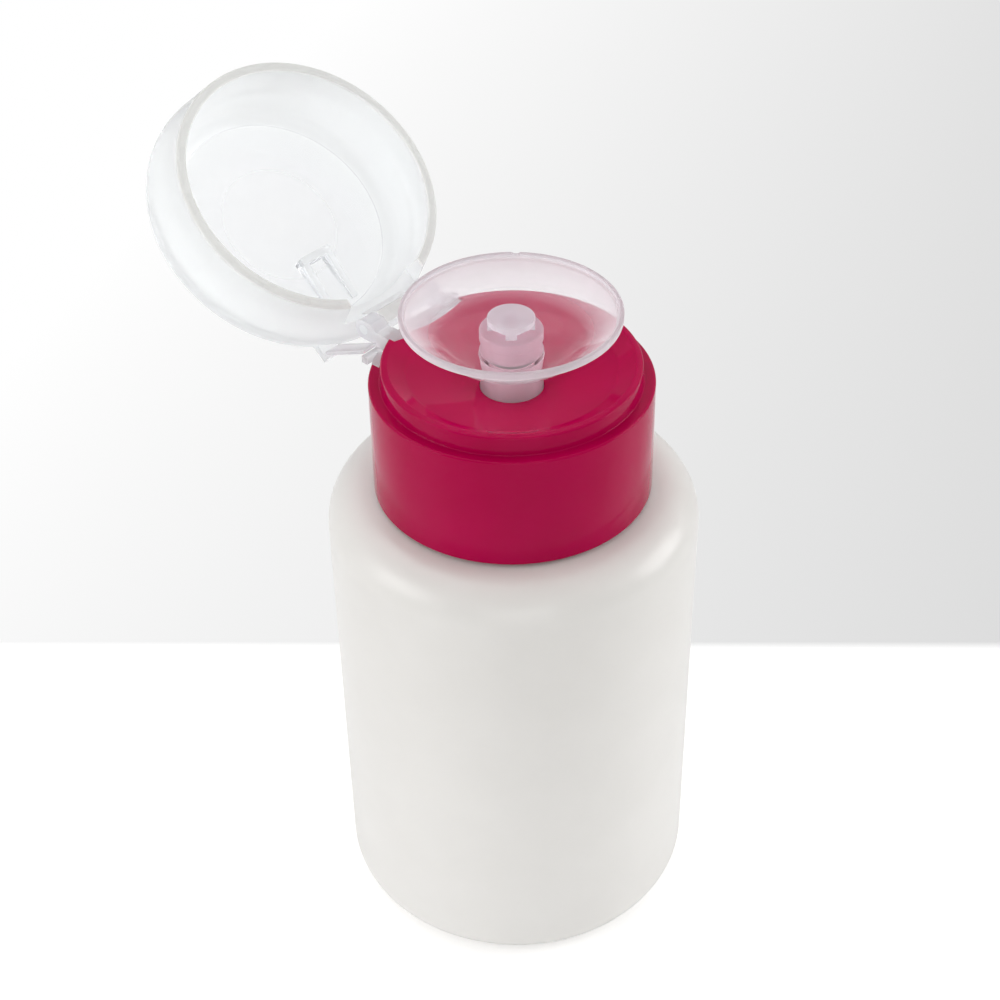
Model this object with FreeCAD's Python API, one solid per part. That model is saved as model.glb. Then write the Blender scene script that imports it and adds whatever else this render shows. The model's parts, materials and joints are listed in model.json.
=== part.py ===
import FreeCAD, Part
import math
import os
from FreeCAD import Vector

# Press-dish pump bottle with a clear flip lid. All sizes are in millimetres.
# The origin is the middle of the base, +Z is up, and the lid's hinge is at the back, at +Y.
# Every piece stands as it does at rest: the lid open on its two straps, and the dish up.

# Bottle
body_radius = 30.0
body_wall = 1.2
base_edge_radius = 4.6
shoulder_height = 81.9
shoulder_radius = 6.5
shoulder_rise = 0.4
neck_radius = 18.8
neck_wall = 1.6
neck_length = 14.2
neck_root_radius = 0.8

# Screw cap
thread_room = 1.5
cap_wall = 1.95
cap_draft = 0.07
cap_shoulder_gap = 0.43
cap_floor = 1.8
cap_underside_wall = 1.7
ledge_rise = 1.4
ledge_width = 1.78
seat_ring_draft = 0.25
seat_ring_height = 3.0
seat_ring_land = 1.1
bowl_slope_width = 2.75
bowl_depth = 1.6
bowl_edge_radius = 3.2

# Flip lid
lid_open_angle = 141.5
lid_seat_gap = 0.15
lid_rim_inset = 0.05
lid_ring_gap = 0.4
lid_head_room = 0.55
lid_flare_angle = 11.5
lid_edge_radius = 5.0
lid_top_wall = 1.5
lid_inner_draft_angle = 4.0
lid_inner_edge_radius = 2.9
lid_frame_width = 6.4
lid_frame_front = 7.5
lid_frame_rib = 0.9
lid_frame_height = 0.6

# Hinge of the lid, with its base and its two straps
hinge_overhang = 2.13
knuckle_floor_gap = 0.37
knuckle_radius = 1.7
knuckle_half_width = 4.4
knuckle_root_height = 8.4
knuckle_back_round = 0.7
trunnion_radius = 0.85
trunnion_clearance = 0.05
hinge_gap = 0.3
arm_width = 3.0
arm_notch_room = 0.8
arm_notch_gap = 0.45
base_front_depth = 2.2
base_block_margin = 0.1
base_block_depth = 1.2
base_block_rise = 2.6
base_plate_margin = 0.5
base_plate_height = 4.4
base_plate_wall = 1.3
base_fit = 0.1
strap_width = 3.0
strap_thickness = 0.7
strap_inset = 0.2
strap_root_reach = 3.1
strap_lid_reach = 7.5
strap_lid_angle = 97.5
strap_lug_thickness = 1.3
strap_shelf_lip = 0.05

# Press dish and outlet plug
press_travel = 5.0
press_floor_gap = 0.5
dish_radius = 17.0
dish_wall = 1.0
dish_depth = 7.0
dish_rim_width = 1.1
dish_rim_height = 0.9
dish_rim_overhang = 0.73
dish_floor_width = 3.7
dish_foot_rise = 0.3
dish_foot_curve = 9.0
hub_wall = 1.3
hub_clearance = 0.08
hub_guide = 3.1
boss_height = 3.9
boss_groove_height = 1.9
boss_groove_depth = 0.2
outlet_radius = 2.25
plug_inset = 1.25
plug_disc = 1.0
plug_stand = 1.0
plug_tab_width = 1.7
plug_tab_depth = 1.1
plug_tab_count = 4
plug_tab_turn = 41.7
plug_shank_length = 3.0
plug_groove_width = 0.9
plug_groove_depth = 0.7

# Pump stem and outlet valve
outlet_ball_radius = 1.5
outlet_ball_side_gap = 1.1
outlet_ball_stop = 0.1
outlet_ball_lift = 1.0
outlet_seat_land = 0.2
valve_seat_gap = 0.05
stem_wall = 0.95
stem_socket_clearance = 0.05
stem_socket_depth = 7.0
stem_guide_clearance = 0.07
stem_slot_count = 4
stem_slot_width = 0.9
stem_slot_depth = 1.0

# Piston and return spring
rod_spigot_length = 4.3
rod_spigot_clearance = 0.05
rod_core_step = 0.65
rod_flange_side_gap = 1.2
rod_flange = 1.5
rod_nose_gap = 0.95
rod_nose_length = 3.0
rod_bore = 0.9
piston_height = 6.2
piston_clearance = 0.05
piston_waist = 0.7
piston_lip_height = 1.4
piston_bore_clearance = 0.05
piston_top_gap = 0.3
spring_length = 18.0
spring_wire = 0.9
spring_side_gap = 1.55
spring_turns = 6
spring_end_gap = 0.15
spring_arcs_per_turn = 4
spring_points_per_turn = 48

# Pump cylinder, its collar and its seals
gasket_thickness = 1.0
gasket_width = 4.6
gasket_inset = 0.3
flange_thickness = 1.3
flange_inset = 0.4
flange_fit = 0.2
cylinder_bore = 6.6
cylinder_wall = 1.1
head_ledge_width = 1.5
collar_fit = 0.05
collar_top_gap = 0.1
collar_hub_room = 0.2
collar_step_gap = 0.2
collar_sole = 3.1
wiper_thickness = 1.2

# Inlet valve and dip tube
cage_height = 2.6
cage_fit = 0.05
cage_hole_radius = 2.4
cage_bar_width = 1.2
cage_bar_count = 4
inlet_ball_radius = 2.4
inlet_ball_lift = 1.2
inlet_chamber_clearance = 0.8
inlet_seat_width = 0.8
inlet_seat_land = 1.2
socket_depth = 7.0
socket_wall = 1.25
tube_radius = 2.6
tube_wall = 0.7
tube_clearance = 0.05
tube_foot_gap = 4.0
tube_foot_cut_angle = 45.0

# Small broken edges, the overshoot of a cut, and the length below which two points are one
edge_round = 0.35
fine_round = 0.2
least_turned_arc = 0.6
cut_room = 1.0
same_point = 1e-6

# Radii that follow from the sizes above
cap_bore = neck_radius + thread_room
cap_radius = cap_bore + cap_wall
cap_top_radius = cap_radius - cap_draft
seat_ring_radius = cap_top_radius - ledge_width
seat_ring_edge = seat_ring_radius - seat_ring_draft
bowl_radius = seat_ring_edge - seat_ring_land - bowl_slope_width
lid_rim_radius = cap_top_radius - lid_rim_inset
lid_rim_wall = lid_rim_radius - seat_ring_radius - lid_ring_gap
stem_bore = outlet_ball_radius - outlet_ball_stop
stem_chamber_radius = outlet_ball_radius + outlet_ball_side_gap
stem_radius = stem_chamber_radius + stem_wall
stem_socket = stem_radius + stem_socket_clearance
stem_guide = stem_radius + stem_guide_clearance
hub_radius = stem_socket + hub_wall
hub_hole = hub_radius + hub_clearance
dish_foot_radius = hub_radius + dish_floor_width
plug_radius = hub_radius - plug_inset
spigot_radius = stem_chamber_radius - rod_spigot_clearance
outlet_seat_radius = spigot_radius - outlet_seat_land
rod_core_radius = spigot_radius + rod_core_step
rod_flange_radius = cylinder_bore - rod_flange_side_gap
spring_mean_radius = cylinder_bore - spring_side_gap - spring_wire / 2
rod_nose_radius = spring_mean_radius - spring_wire / 2 - rod_nose_gap
flange_radius = neck_radius - flange_inset
flange_seat = flange_radius + flange_fit
cylinder_radius = cylinder_bore + cylinder_wall
cylinder_head_radius = cylinder_bore + head_ledge_width
head_radius = cylinder_head_radius + cylinder_wall
collar_radius = cylinder_head_radius - collar_fit
inlet_chamber = inlet_ball_radius + inlet_chamber_clearance
inlet_seat_bore = inlet_ball_radius - inlet_seat_width
tube_bore = tube_radius - tube_wall
socket_bore = tube_radius + tube_clearance
socket_radius = socket_bore + socket_wall

# Heights that follow from the sizes above
neck_base = shoulder_height + shoulder_rise
neck_top = neck_base + neck_length
flange_bottom = neck_top + gasket_thickness
flange_top = flange_bottom + flange_thickness
cap_bottom = neck_base + cap_shoulder_gap
cap_floor_top = flange_top + cap_floor
ledge_top = cap_floor_top + ledge_rise
seat_ring_top = ledge_top + seat_ring_height
bowl_bottom = seat_ring_top - bowl_depth
lid_rim = ledge_top + lid_seat_gap
dish_underside = cap_floor_top + press_travel + press_floor_gap
dish_floor = dish_underside + dish_wall
dish_top = dish_floor + dish_depth
lid_height = dish_top - lid_rim + lid_head_room + lid_frame_height + lid_top_wall
boss_top = dish_floor + boss_height
plug_underside = boss_top + plug_stand
hub_bottom = cap_floor_top - hub_guide
stem_top = hub_bottom + stem_socket_depth
collar_step = hub_bottom - press_travel - collar_step_gap
wiper_top = collar_step - collar_sole
head_ledge = wiper_top - wiper_thickness
piston_top = head_ledge - piston_top_gap
piston_bottom = piston_top - piston_height
rod_flange_bottom = piston_bottom - rod_flange
rod_spigot_top = piston_top + rod_spigot_length
spring_top = rod_flange_bottom - spring_end_gap
spring_bottom = spring_top - spring_length
cage_top = spring_bottom - spring_end_gap
cage_bottom = cage_top - cage_height

# Places across the hinge, and the hinge axis as a point of the YZ plane
arm_start = knuckle_half_width + hinge_gap
arm_end = arm_start + arm_width
base_block_half_width = arm_end + base_block_margin
strap_start = base_block_half_width + strap_inset
strap_end = strap_start + strap_width
base_plate_half_width = strap_end + base_plate_margin
base_front = seat_ring_radius - base_front_depth
hinge_reach = cap_radius + hinge_overhang
hinge_height = ledge_top + knuckle_floor_gap + knuckle_radius
hinge_point = Vector(0, hinge_reach, hinge_height)
arm_notch_top = hinge_height + knuckle_radius + arm_notch_room


def section(radius, height):
    """A point of the XZ half plane that profiles are turned from."""
    return Vector(radius, 0, height)


def side(depth, height):
    """A point of the YZ plane that side profiles are drawn on."""
    return Vector(0, depth, height)


def corner_half_angles(points):
    """Half of the angle between the two sides at each corner of a closed outline."""
    halves = []
    for i, here in enumerate(points):
        following = points[(i + 1) % len(points)]
        halves.append((points[i - 1] - here).getAngle(following - here) / 2)
    return halves


def corner_reaches(points, radii, halves):
    """How far each rounding reaches along its sides, drawn in where a side is too short for two."""
    count = len(points)
    wanted = [radius / math.tan(half) for radius, half in zip(radii, halves)]
    shares = []
    for i in range(count):
        following = (i + 1) % count
        length = points[i].distanceToPoint(points[following])
        shares.append(length / max(length, wanted[i] + wanted[following]))
    return [wanted[i] * min(shares[i - 1], shares[i]) for i in range(count)]


def rounded_wire(corners, place, least_arc):
    """Closed wire through (a, b, radius) corners, each rounded by its radius, or bevelled if that is small."""
    points = [place(a, b) for a, b, _ in corners]
    count = len(points)
    halves = corner_half_angles(points)
    reaches = corner_reaches(points, [corner[2] for corner in corners], halves)
    starts = []
    ends = []
    edges = []
    for i, here in enumerate(points):
        back = (points[i - 1] - here).normalize()
        ahead = (points[(i + 1) % count] - here).normalize()
        starts.append(here + back * reaches[i])
        ends.append(here + ahead * reaches[i])
        if reaches[i] > same_point:
            radius = reaches[i] * math.tan(halves[i])
            middle = here + (back + ahead).normalize() * (radius / math.sin(halves[i]) - radius)
            round_edge = radius > least_arc
            curve = Part.LineSegment(starts[i], ends[i])
            if round_edge:
                curve = Part.Arc(starts[i], middle, ends[i])
            edges.append(curve.toShape())
    for i in range(count):
        following = starts[(i + 1) % count]
        if ends[i].distanceToPoint(following) > same_point:
            edges.append(Part.LineSegment(ends[i], following).toShape())
    return Part.Wire(Part.__sortEdges__(edges))


def turned(corners):
    """Solid turned about the bottle's axis from (radius, height, rounding) corners."""
    outline = rounded_wire(corners, section, least_turned_arc)
    return Part.Face(outline).revolve(Vector(0, 0, 0), Vector(0, 0, 1), 360)


def slab(corners, x_from, x_to):
    """Solid with a YZ side profile of (depth, height, rounding) corners, from x_from to x_to."""
    solid = Part.Face(rounded_wire(corners, side, same_point)).extrude(Vector(x_to - x_from, 0, 0))
    solid.translate(Vector(x_from, 0, 0))
    return solid


def block(x_from, x_to, y_from, y_to, z_from, z_to):
    """Rectangular block between two corners."""
    return Part.makeBox(x_to - x_from, y_to - y_from, z_to - z_from, Vector(x_from, y_from, z_from))


def rod_along_x(radius, x_from, x_to):
    """Round bar on the hinge axis."""
    start = Vector(x_from, hinge_point.y, hinge_point.z)
    return Part.makeCylinder(radius, x_to - x_from, start, Vector(1, 0, 0))


def ring(inner, outer, z_from, z_to):
    """Plain ring about the bottle's axis."""
    outside = Part.makeCylinder(outer, z_to - z_from, Vector(0, 0, z_from))
    return outside.cut(Part.makeCylinder(inner, z_to - z_from, Vector(0, 0, z_from)))


def core(radius, z_from):
    """Round bar about the bottle's axis, taller than any piece that it trims."""
    return Part.makeCylinder(radius, neck_top, Vector(0, 0, z_from))


def mirrored(shape):
    """The same shape on the other side of the hinge."""
    return shape.mirror(Vector(0, 0, 0), Vector(1, 0, 0))


def turned_about(shape, count, first_angle):
    """Copies of a shape spaced evenly round the bottle's axis."""
    copies = []
    for i in range(count):
        copy = shape.copy()
        copy.rotate(Vector(0, 0, 0), Vector(0, 0, 1), first_angle + i * 360 / count)
        copies.append(copy)
    return copies


def bottle():
    """Blown body with a round shoulder and a plain neck; the thread is a finish detail."""
    inner = body_radius - body_wall
    neck_bore = neck_radius - neck_wall
    inner_shoulder_radius = max(shoulder_radius - body_wall, fine_round)
    inner_base_radius = max(base_edge_radius - body_wall, fine_round)
    return turned([
        (0, 0, 0),
        (body_radius, 0, base_edge_radius),
        (body_radius, shoulder_height, shoulder_radius),
        (neck_radius, neck_base, neck_root_radius),
        (neck_radius, neck_top, edge_round),
        (neck_bore, neck_top, edge_round),
        (neck_bore, neck_base - body_wall, neck_root_radius),
        (inner, shoulder_height - body_wall, inner_shoulder_radius),
        (inner, body_wall, inner_base_radius),
        (0, body_wall, 0),
    ])


def cap_underside_height(radius):
    """Height of the hollow under the cap's funnel floor, one wall below it."""
    share = (radius - hub_hole) / (bowl_radius - hub_hole)
    return cap_floor_top + share * (bowl_bottom - cap_floor_top) - cap_underside_wall


def hinge_pocket():
    """Room for the hinge base in the cap's back: its block in the ring, its plate in the skirt."""
    half = base_block_half_width + base_fit
    far = 2 * cap_radius
    floor = ledge_top - base_block_depth
    opening = block(-half, half, base_front - base_fit, far, floor - base_fit, seat_ring_top + cut_room)
    plate_half = base_plate_half_width + base_fit
    plate_floor = ledge_top - base_plate_height - base_fit
    inner = cap_top_radius - base_plate_wall - base_fit
    outside = ring(inner, far, plate_floor, ledge_top)
    return opening.fuse(outside.common(block(-plate_half, plate_half, 0, far, plate_floor, ledge_top)))


def screw_cap():
    """Turned cap: skirt, ledge and ring for the lid, and a funnel floor round the hub's hole."""
    hollow_inner = head_radius + flange_fit
    hollow_outer = bowl_radius - cap_floor
    shell = turned([
        (hub_hole, flange_top, 0),
        (hub_hole, cap_floor_top, fine_round),
        (bowl_radius, bowl_bottom, bowl_edge_radius),
        (seat_ring_edge - seat_ring_land, seat_ring_top, edge_round),
        (seat_ring_edge, seat_ring_top, edge_round),
        (seat_ring_radius, ledge_top, fine_round),
        (cap_top_radius, ledge_top, edge_round),
        (cap_radius, cap_bottom, edge_round),
        (cap_bore, cap_bottom, edge_round),
        (cap_bore, flange_bottom - flange_fit, edge_round),
        (flange_seat, flange_bottom - flange_fit, fine_round),
        (flange_seat, flange_top, fine_round),
        (hollow_outer, flange_top, 0),
        (hollow_outer, cap_underside_height(hollow_outer), fine_round),
        (hollow_inner, cap_underside_height(hollow_inner), fine_round),
        (hollow_inner, flange_top, 0),
    ])
    return shell.cut(hinge_pocket())


def hinge_arm():
    """One of the two arms of the hinge base, from its block out to a round eye."""
    floor = ledge_top - base_block_depth
    top = ledge_top + base_block_rise
    return slab([
        (base_front + fine_round, floor, 0),
        (cap_top_radius - base_plate_wall, floor, edge_round),
        (hinge_reach - knuckle_radius, hinge_height - knuckle_radius, edge_round),
        (hinge_reach + knuckle_radius, hinge_height - knuckle_radius, knuckle_radius),
        (hinge_reach + knuckle_radius, hinge_height + knuckle_radius, knuckle_radius),
        (hinge_reach - knuckle_radius, hinge_height + knuckle_radius, edge_round),
        (base_front + 2 * knuckle_radius, top, edge_round),
        (base_front + fine_round, top, 0),
    ], arm_start, arm_end)


def hinge_base():
    """Clear insert in the cap's back: plate, block, and two arms that carry the lid's trunnions."""
    plate_floor = ledge_top - base_plate_height
    inner = cap_top_radius - base_plate_wall
    half = base_plate_half_width
    plate = ring(inner, cap_top_radius, plate_floor, ledge_top)
    plate = plate.common(block(-half, half, 0, cap_top_radius, plate_floor, ledge_top))
    width = base_block_half_width
    floor = ledge_top - base_block_depth
    low_block = block(-width, width, base_front, cap_top_radius, floor, ledge_top)
    low_block = low_block.common(core(cap_top_radius, floor))
    high_block = block(-width, width, base_front, cap_top_radius, ledge_top, ledge_top + base_block_rise)
    high_block = high_block.common(core(seat_ring_edge, ledge_top))
    arm = hinge_arm()
    shelf = block(strap_start, strap_end, 0, strap_root().y + strap_shelf_lip, floor, ledge_top)
    shelf = shelf.cut(core(inner, plate_floor))
    solid = plate.fuse([low_block, high_block, arm, mirrored(arm), shelf, mirrored(shelf)])
    solid = solid.cut(rod_along_x(trunnion_radius + trunnion_clearance, -arm_end, arm_end))
    return solid.removeSplitter()


def polar_from_hinge(reach, angle):
    """Point of the YZ plane at a reach and an angle in degrees from the hinge axis."""
    turn = math.radians(angle)
    return hinge_point + Vector(0, reach * math.cos(turn), reach * math.sin(turn))


def strap_root():
    """Where a strap bends on the base: as far from its lid end with the lid open as with it shut."""
    return polar_from_hinge(strap_root_reach, strap_lid_angle - lid_open_angle / 2 + 180)


def strap_lid_end(opened):
    """Where a strap bends on the lid, with the lid opened by an angle."""
    return polar_from_hinge(strap_lid_reach, strap_lid_angle - opened)


def strap_swing():
    """Angle that a strap turns through about its root while the lid shuts."""
    shut = strap_lid_end(0) - strap_root()
    opened = strap_lid_end(lid_open_angle) - strap_root()
    return math.degrees(shut.getAngle(opened))


def hinge_strap():
    """Flat strap that snaps the lid open and shut, straight between its two bends."""
    root = strap_root()
    along = strap_lid_end(lid_open_angle) - root
    half = strap_thickness / 2
    length = along.Length
    bar = slab([
        (root.y - half, root.z - half, half),
        (root.y + length + half, root.z - half, half),
        (root.y + length + half, root.z + half, half),
        (root.y - half, root.z + half, half),
    ], strap_start, strap_end)
    bar.rotate(root, Vector(1, 0, 0), math.degrees(math.atan2(along.z, along.y)))
    return bar


def lid_outer_radius(height):
    """Outer radius of the lid's flared wall at a height above its rim."""
    return lid_rim_radius + height * math.tan(math.radians(lid_flare_angle))


def lid_inner_radius(height):
    """Inner radius of the lid's wall at a height above its rim."""
    return lid_rim_radius - lid_rim_wall - height * math.tan(math.radians(lid_inner_draft_angle))


def lid_cup():
    """Shut lid: a flared cup with a rounded top edge."""
    ceiling = lid_height - lid_top_wall
    return turned([
        (0, lid_rim + ceiling, 0),
        (lid_inner_radius(ceiling), lid_rim + ceiling, lid_inner_edge_radius),
        (lid_inner_radius(0), lid_rim, edge_round),
        (lid_outer_radius(0), lid_rim, edge_round),
        (lid_outer_radius(lid_height), lid_rim + lid_height, lid_edge_radius),
        (0, lid_rim + lid_height, 0),
    ])


def lid_notch():
    """Gap in the lid's back wall that the hinge's arms stand in when it is shut."""
    half = arm_end + arm_notch_gap
    return block(-half, half, lid_rim_radius / 2, 2 * lid_rim_radius, lid_rim - cut_room, arm_notch_top)


def lid_knuckle():
    """Arm from the lid's back wall down to the hinge axis, with a trunnion at each side."""
    root = lid_rim + knuckle_root_height
    wall = lid_inner_radius(knuckle_root_height) + lid_rim_wall
    arm = slab([
        (hinge_reach - knuckle_radius, hinge_height - knuckle_radius, knuckle_radius),
        (hinge_reach + knuckle_radius, hinge_height - knuckle_radius, knuckle_radius),
        (hinge_reach + knuckle_radius, hinge_height + knuckle_radius, knuckle_back_round),
        (lid_outer_radius(knuckle_root_height), root, 0),
        (wall, root, 0),
        (wall, arm_notch_top, 0),
        (hinge_reach - knuckle_radius, hinge_height + knuckle_radius / 2, edge_round),
    ], -knuckle_half_width, knuckle_half_width)
    return arm.fuse(rod_along_x(trunnion_radius, -arm_end, arm_end))


def lid_lug():
    """Small ledge on the lid's back wall that a strap ends at."""
    end = strap_lid_end(0)
    under = end.z + strap_thickness
    wall = lid_inner_radius(under - lid_rim) + lid_rim_wall
    outer = end.y + strap_thickness
    lug = block(strap_start, strap_end, 0, outer, under, under + strap_lug_thickness)
    return lug.cut(core(wall, lid_rim))


def lid_frame():
    """Low U-shaped rib on the lid's ceiling, open towards the hinge."""
    ceiling = lid_rim + lid_height - lid_top_wall
    half = lid_frame_width / 2
    back = lid_inner_radius(lid_height - lid_top_wall) - lid_inner_edge_radius
    low = ceiling - lid_frame_height
    high = ceiling + lid_top_wall / 2
    outer = block(-half, half, lid_frame_front, back, low, high)
    clear_half = half - lid_frame_rib
    inner = block(-clear_half, clear_half, lid_frame_front + lid_frame_rib, back, low, high)
    return outer.cut(inner)


def flip_lid():
    """Clear lid with its knuckle, trunnions and strap ledges, turned open about the hinge."""
    lug = lid_lug()
    solid = lid_cup().cut(lid_notch())
    solid = solid.fuse([lid_knuckle(), lug, mirrored(lug), lid_frame()]).removeSplitter()
    solid.rotate(hinge_point, Vector(1, 0, 0), -lid_open_angle)
    return solid


def press_dish():
    """Clear dish with a boss in its middle and a hub below that slides in the cap."""
    rim_inner = dish_radius - dish_rim_width
    rim_bottom = dish_top - dish_rim_height
    groove_low = dish_floor + boss_groove_height
    groove = hub_radius - boss_groove_depth
    return turned([
        (outlet_radius, stem_top, 0),
        (outlet_radius, boss_top, fine_round),
        (hub_radius, boss_top, edge_round),
        (hub_radius, groove_low + boss_groove_depth, 0),
        (groove, groove_low, 0),
        (groove, dish_floor, edge_round),
        (dish_foot_radius, dish_floor + dish_foot_rise, dish_foot_curve),
        (rim_inner, dish_top, edge_round),
        (dish_radius, dish_top, edge_round),
        (dish_radius, rim_bottom, edge_round),
        (dish_radius - dish_rim_overhang, rim_bottom, edge_round),
        (dish_foot_radius + dish_wall / 2, dish_underside + dish_foot_rise, dish_foot_curve),
        (hub_radius, dish_underside, edge_round),
        (hub_radius, hub_bottom, edge_round),
        (stem_socket, hub_bottom, 0),
        (stem_socket, stem_top, 0),
    ])


def outlet_plug():
    """Disc on four tabs over the outlet, with a grooved shank pressed into the boss."""
    disc = turned([
        (0, plug_underside, 0),
        (plug_radius, plug_underside, fine_round),
        (plug_radius, plug_underside + plug_disc, edge_round),
        (0, plug_underside + plug_disc, 0),
    ])
    half = plug_tab_width / 2
    tab_inside = plug_tab_depth - plug_radius
    tab = block(-half, half, -plug_radius, tab_inside, boss_top, plug_underside + fine_round)
    shank_bottom = boss_top - plug_shank_length
    shank = Part.makeCylinder(outlet_radius, plug_underside - shank_bottom, Vector(0, 0, shank_bottom))
    half_groove = plug_groove_width / 2
    groove = block(-half_groove, half_groove, plug_groove_depth - 2 * outlet_radius,
                   plug_groove_depth - outlet_radius, shank_bottom, plug_underside)
    between = plug_tab_turn + 180 / plug_tab_count
    shank = shank.cut(turned_about(groove, plug_tab_count, between))
    return disc.fuse(turned_about(tab, plug_tab_count, plug_tab_turn) + [shank]).removeSplitter()


def pump_stem():
    """Tube from the dish's hub down to the piston, with the outlet valve's chamber at its foot."""
    chamber_top = outlet_ball_centre() + outlet_ball_radius + outlet_ball_lift
    tube = turned([
        (stem_bore, chamber_top, 0),
        (stem_bore, stem_top, fine_round),
        (stem_radius, stem_top, fine_round),
        (stem_radius, piston_top, fine_round),
        (stem_chamber_radius, piston_top, 0),
        (stem_chamber_radius, chamber_top, 0),
    ])
    half = stem_slot_width / 2
    slot = block(-half, half, 0, stem_chamber_radius, chamber_top, chamber_top + stem_slot_depth)
    return tube.cut(turned_about(slot, stem_slot_count, 0))


def outlet_ball_centre():
    """Height of the outlet ball, just above its conical seat in the rod's spigot."""
    return rod_spigot_top + (outlet_ball_radius + valve_seat_gap) * math.sqrt(2) - outlet_seat_radius


def outlet_ball():
    """Steel ball of the outlet valve."""
    return Part.makeSphere(outlet_ball_radius, Vector(0, 0, outlet_ball_centre()))


def piston_rod():
    """Rod that carries the piston seal, with the outlet seat at its top and a nose in the spring."""
    nose_bottom = rod_flange_bottom - rod_nose_length
    return turned([
        (rod_bore, nose_bottom, 0),
        (rod_bore, rod_spigot_top - outlet_seat_radius + rod_bore, 0),
        (outlet_seat_radius, rod_spigot_top, 0),
        (spigot_radius, rod_spigot_top, 0),
        (spigot_radius, piston_top, 0),
        (rod_core_radius, piston_top, 0),
        (rod_core_radius, piston_bottom, 0),
        (rod_flange_radius, piston_bottom, fine_round),
        (rod_flange_radius, rod_flange_bottom, fine_round),
        (rod_nose_radius, rod_flange_bottom, 0),
        (rod_nose_radius, nose_bottom, edge_round),
    ])


def piston_seal():
    """Soft sleeve with a lip at each end that wipes the cylinder."""
    lip = cylinder_bore - piston_clearance
    waist = lip - piston_waist
    inner = rod_core_radius + piston_bore_clearance
    return turned([
        (inner, piston_bottom, 0),
        (lip, piston_bottom, fine_round),
        (lip, piston_bottom + piston_lip_height, fine_round),
        (waist, piston_bottom + piston_lip_height + piston_waist, 0),
        (waist, piston_top - piston_lip_height - piston_waist, 0),
        (lip, piston_top - piston_lip_height, fine_round),
        (lip, piston_top, fine_round),
        (inner, piston_top, 0),
    ])


def spring_point(turn):
    """Point of the return spring's centre line after a number of turns from its foot."""
    climb = spring_length - spring_wire
    height = spring_bottom + spring_wire / 2 + climb * turn / spring_turns
    angle = 2 * math.pi * turn
    return Vector(spring_mean_radius * math.cos(angle), spring_mean_radius * math.sin(angle), height)


def spring_self_gap():
    """Least gap between neighbouring turns of the spring, measured on points of its centre line."""
    steps = spring_points_per_turn
    points = [spring_point(i / steps) for i in range(spring_turns * steps + 1)]
    least = spring_length
    for i, point in enumerate(points):
        for other in points[i + steps // 2:]:
            least = min(least, point.distanceToPoint(other))
    return least - spring_wire


def return_spring():
    """Open helical spring between the rod's flange and the valve cage."""
    edges = []
    for i in range(spring_arcs_per_turn * spring_turns):
        ends = [spring_point((i + share) / spring_arcs_per_turn) for share in (0, 0.5, 1)]
        edges.append(Part.Arc(*ends).toShape())
    first = edges[0].tangentAt(edges[0].FirstParameter)
    last = edges[-1].tangentAt(edges[-1].LastParameter)
    foot = spring_point(0)
    head = spring_point(spring_turns)
    edges.insert(0, Part.LineSegment(foot - first * spring_wire, foot).toShape())
    edges.append(Part.LineSegment(head, head + last * spring_wire).toShape())
    path = Part.Wire(edges)
    section_circle = Part.Circle(foot - first * spring_wire, first, spring_wire / 2)
    pipe = Part.BRepOffsetAPI.MakePipeShell(path)
    pipe.add(Part.Wire(section_circle.toShape()))
    pipe.build()
    pipe.makeSolid()
    return pipe.shape()


def inlet_seat_height():
    """Height of the narrow end of the inlet valve's 45 degree seat."""
    return inlet_ball_centre() - (inlet_ball_radius + valve_seat_gap) * math.sqrt(2) + inlet_seat_bore


def inlet_ball_centre():
    """Height of the inlet ball, which can lift until it meets the cage."""
    return cage_bottom - inlet_ball_lift - inlet_ball_radius


def inlet_ball():
    """Steel ball of the inlet valve."""
    return Part.makeSphere(inlet_ball_radius, Vector(0, 0, inlet_ball_centre()))


def socket_top():
    """Height of the shoulder that the dip tube's end meets."""
    return inlet_seat_height() - inlet_seat_land


def pump_cylinder():
    """Flanged pump body: head for the collar, bore for the piston, inlet seat and tube socket."""
    chamber_foot = inlet_seat_height() + inlet_chamber - inlet_seat_bore
    top = socket_top()
    bottom = top - socket_depth
    return turned([
        (cylinder_head_radius, head_ledge, 0),
        (cylinder_head_radius, flange_top, fine_round),
        (flange_radius, flange_top, fine_round),
        (flange_radius, flange_bottom, fine_round),
        (head_radius, flange_bottom, edge_round),
        (head_radius, head_ledge - cylinder_wall, edge_round),
        (cylinder_radius, head_ledge - 2 * cylinder_wall, edge_round),
        (cylinder_radius, cage_bottom - cylinder_wall, edge_round),
        (socket_radius, top - cylinder_wall, edge_round),
        (socket_radius, bottom, fine_round),
        (socket_bore, bottom, fine_round),
        (socket_bore, top, 0),
        (inlet_seat_bore, top, 0),
        (inlet_seat_bore, inlet_seat_height(), 0),
        (inlet_chamber, chamber_foot, 0),
        (inlet_chamber, cage_bottom, 0),
        (cylinder_bore, cage_bottom, 0),
        (cylinder_bore, head_ledge, 0),
    ])


def retaining_collar():
    """Collar snapped into the cylinder's head: it guides the stem and keeps the piston in."""
    top = flange_top - collar_top_gap
    hub_room = hub_radius + collar_hub_room
    return turned([
        (stem_guide, wiper_top, fine_round),
        (stem_guide, collar_step, fine_round),
        (hub_room, collar_step, fine_round),
        (hub_room, top, fine_round),
        (collar_radius, top, fine_round),
        (collar_radius, wiper_top, fine_round),
    ])


def stem_wiper():
    """Soft ring under the collar that wipes the stem."""
    return turned([
        (stem_socket, head_ledge, 0),
        (collar_radius, head_ledge, fine_round),
        (collar_radius, wiper_top, fine_round),
        (stem_socket, wiper_top, fine_round),
    ])


def neck_gasket():
    """Flat ring that seals the cylinder's flange on the neck."""
    outer = flange_radius - gasket_inset
    inner = outer - gasket_width
    return ring(inner, outer, neck_top, flange_bottom)


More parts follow.
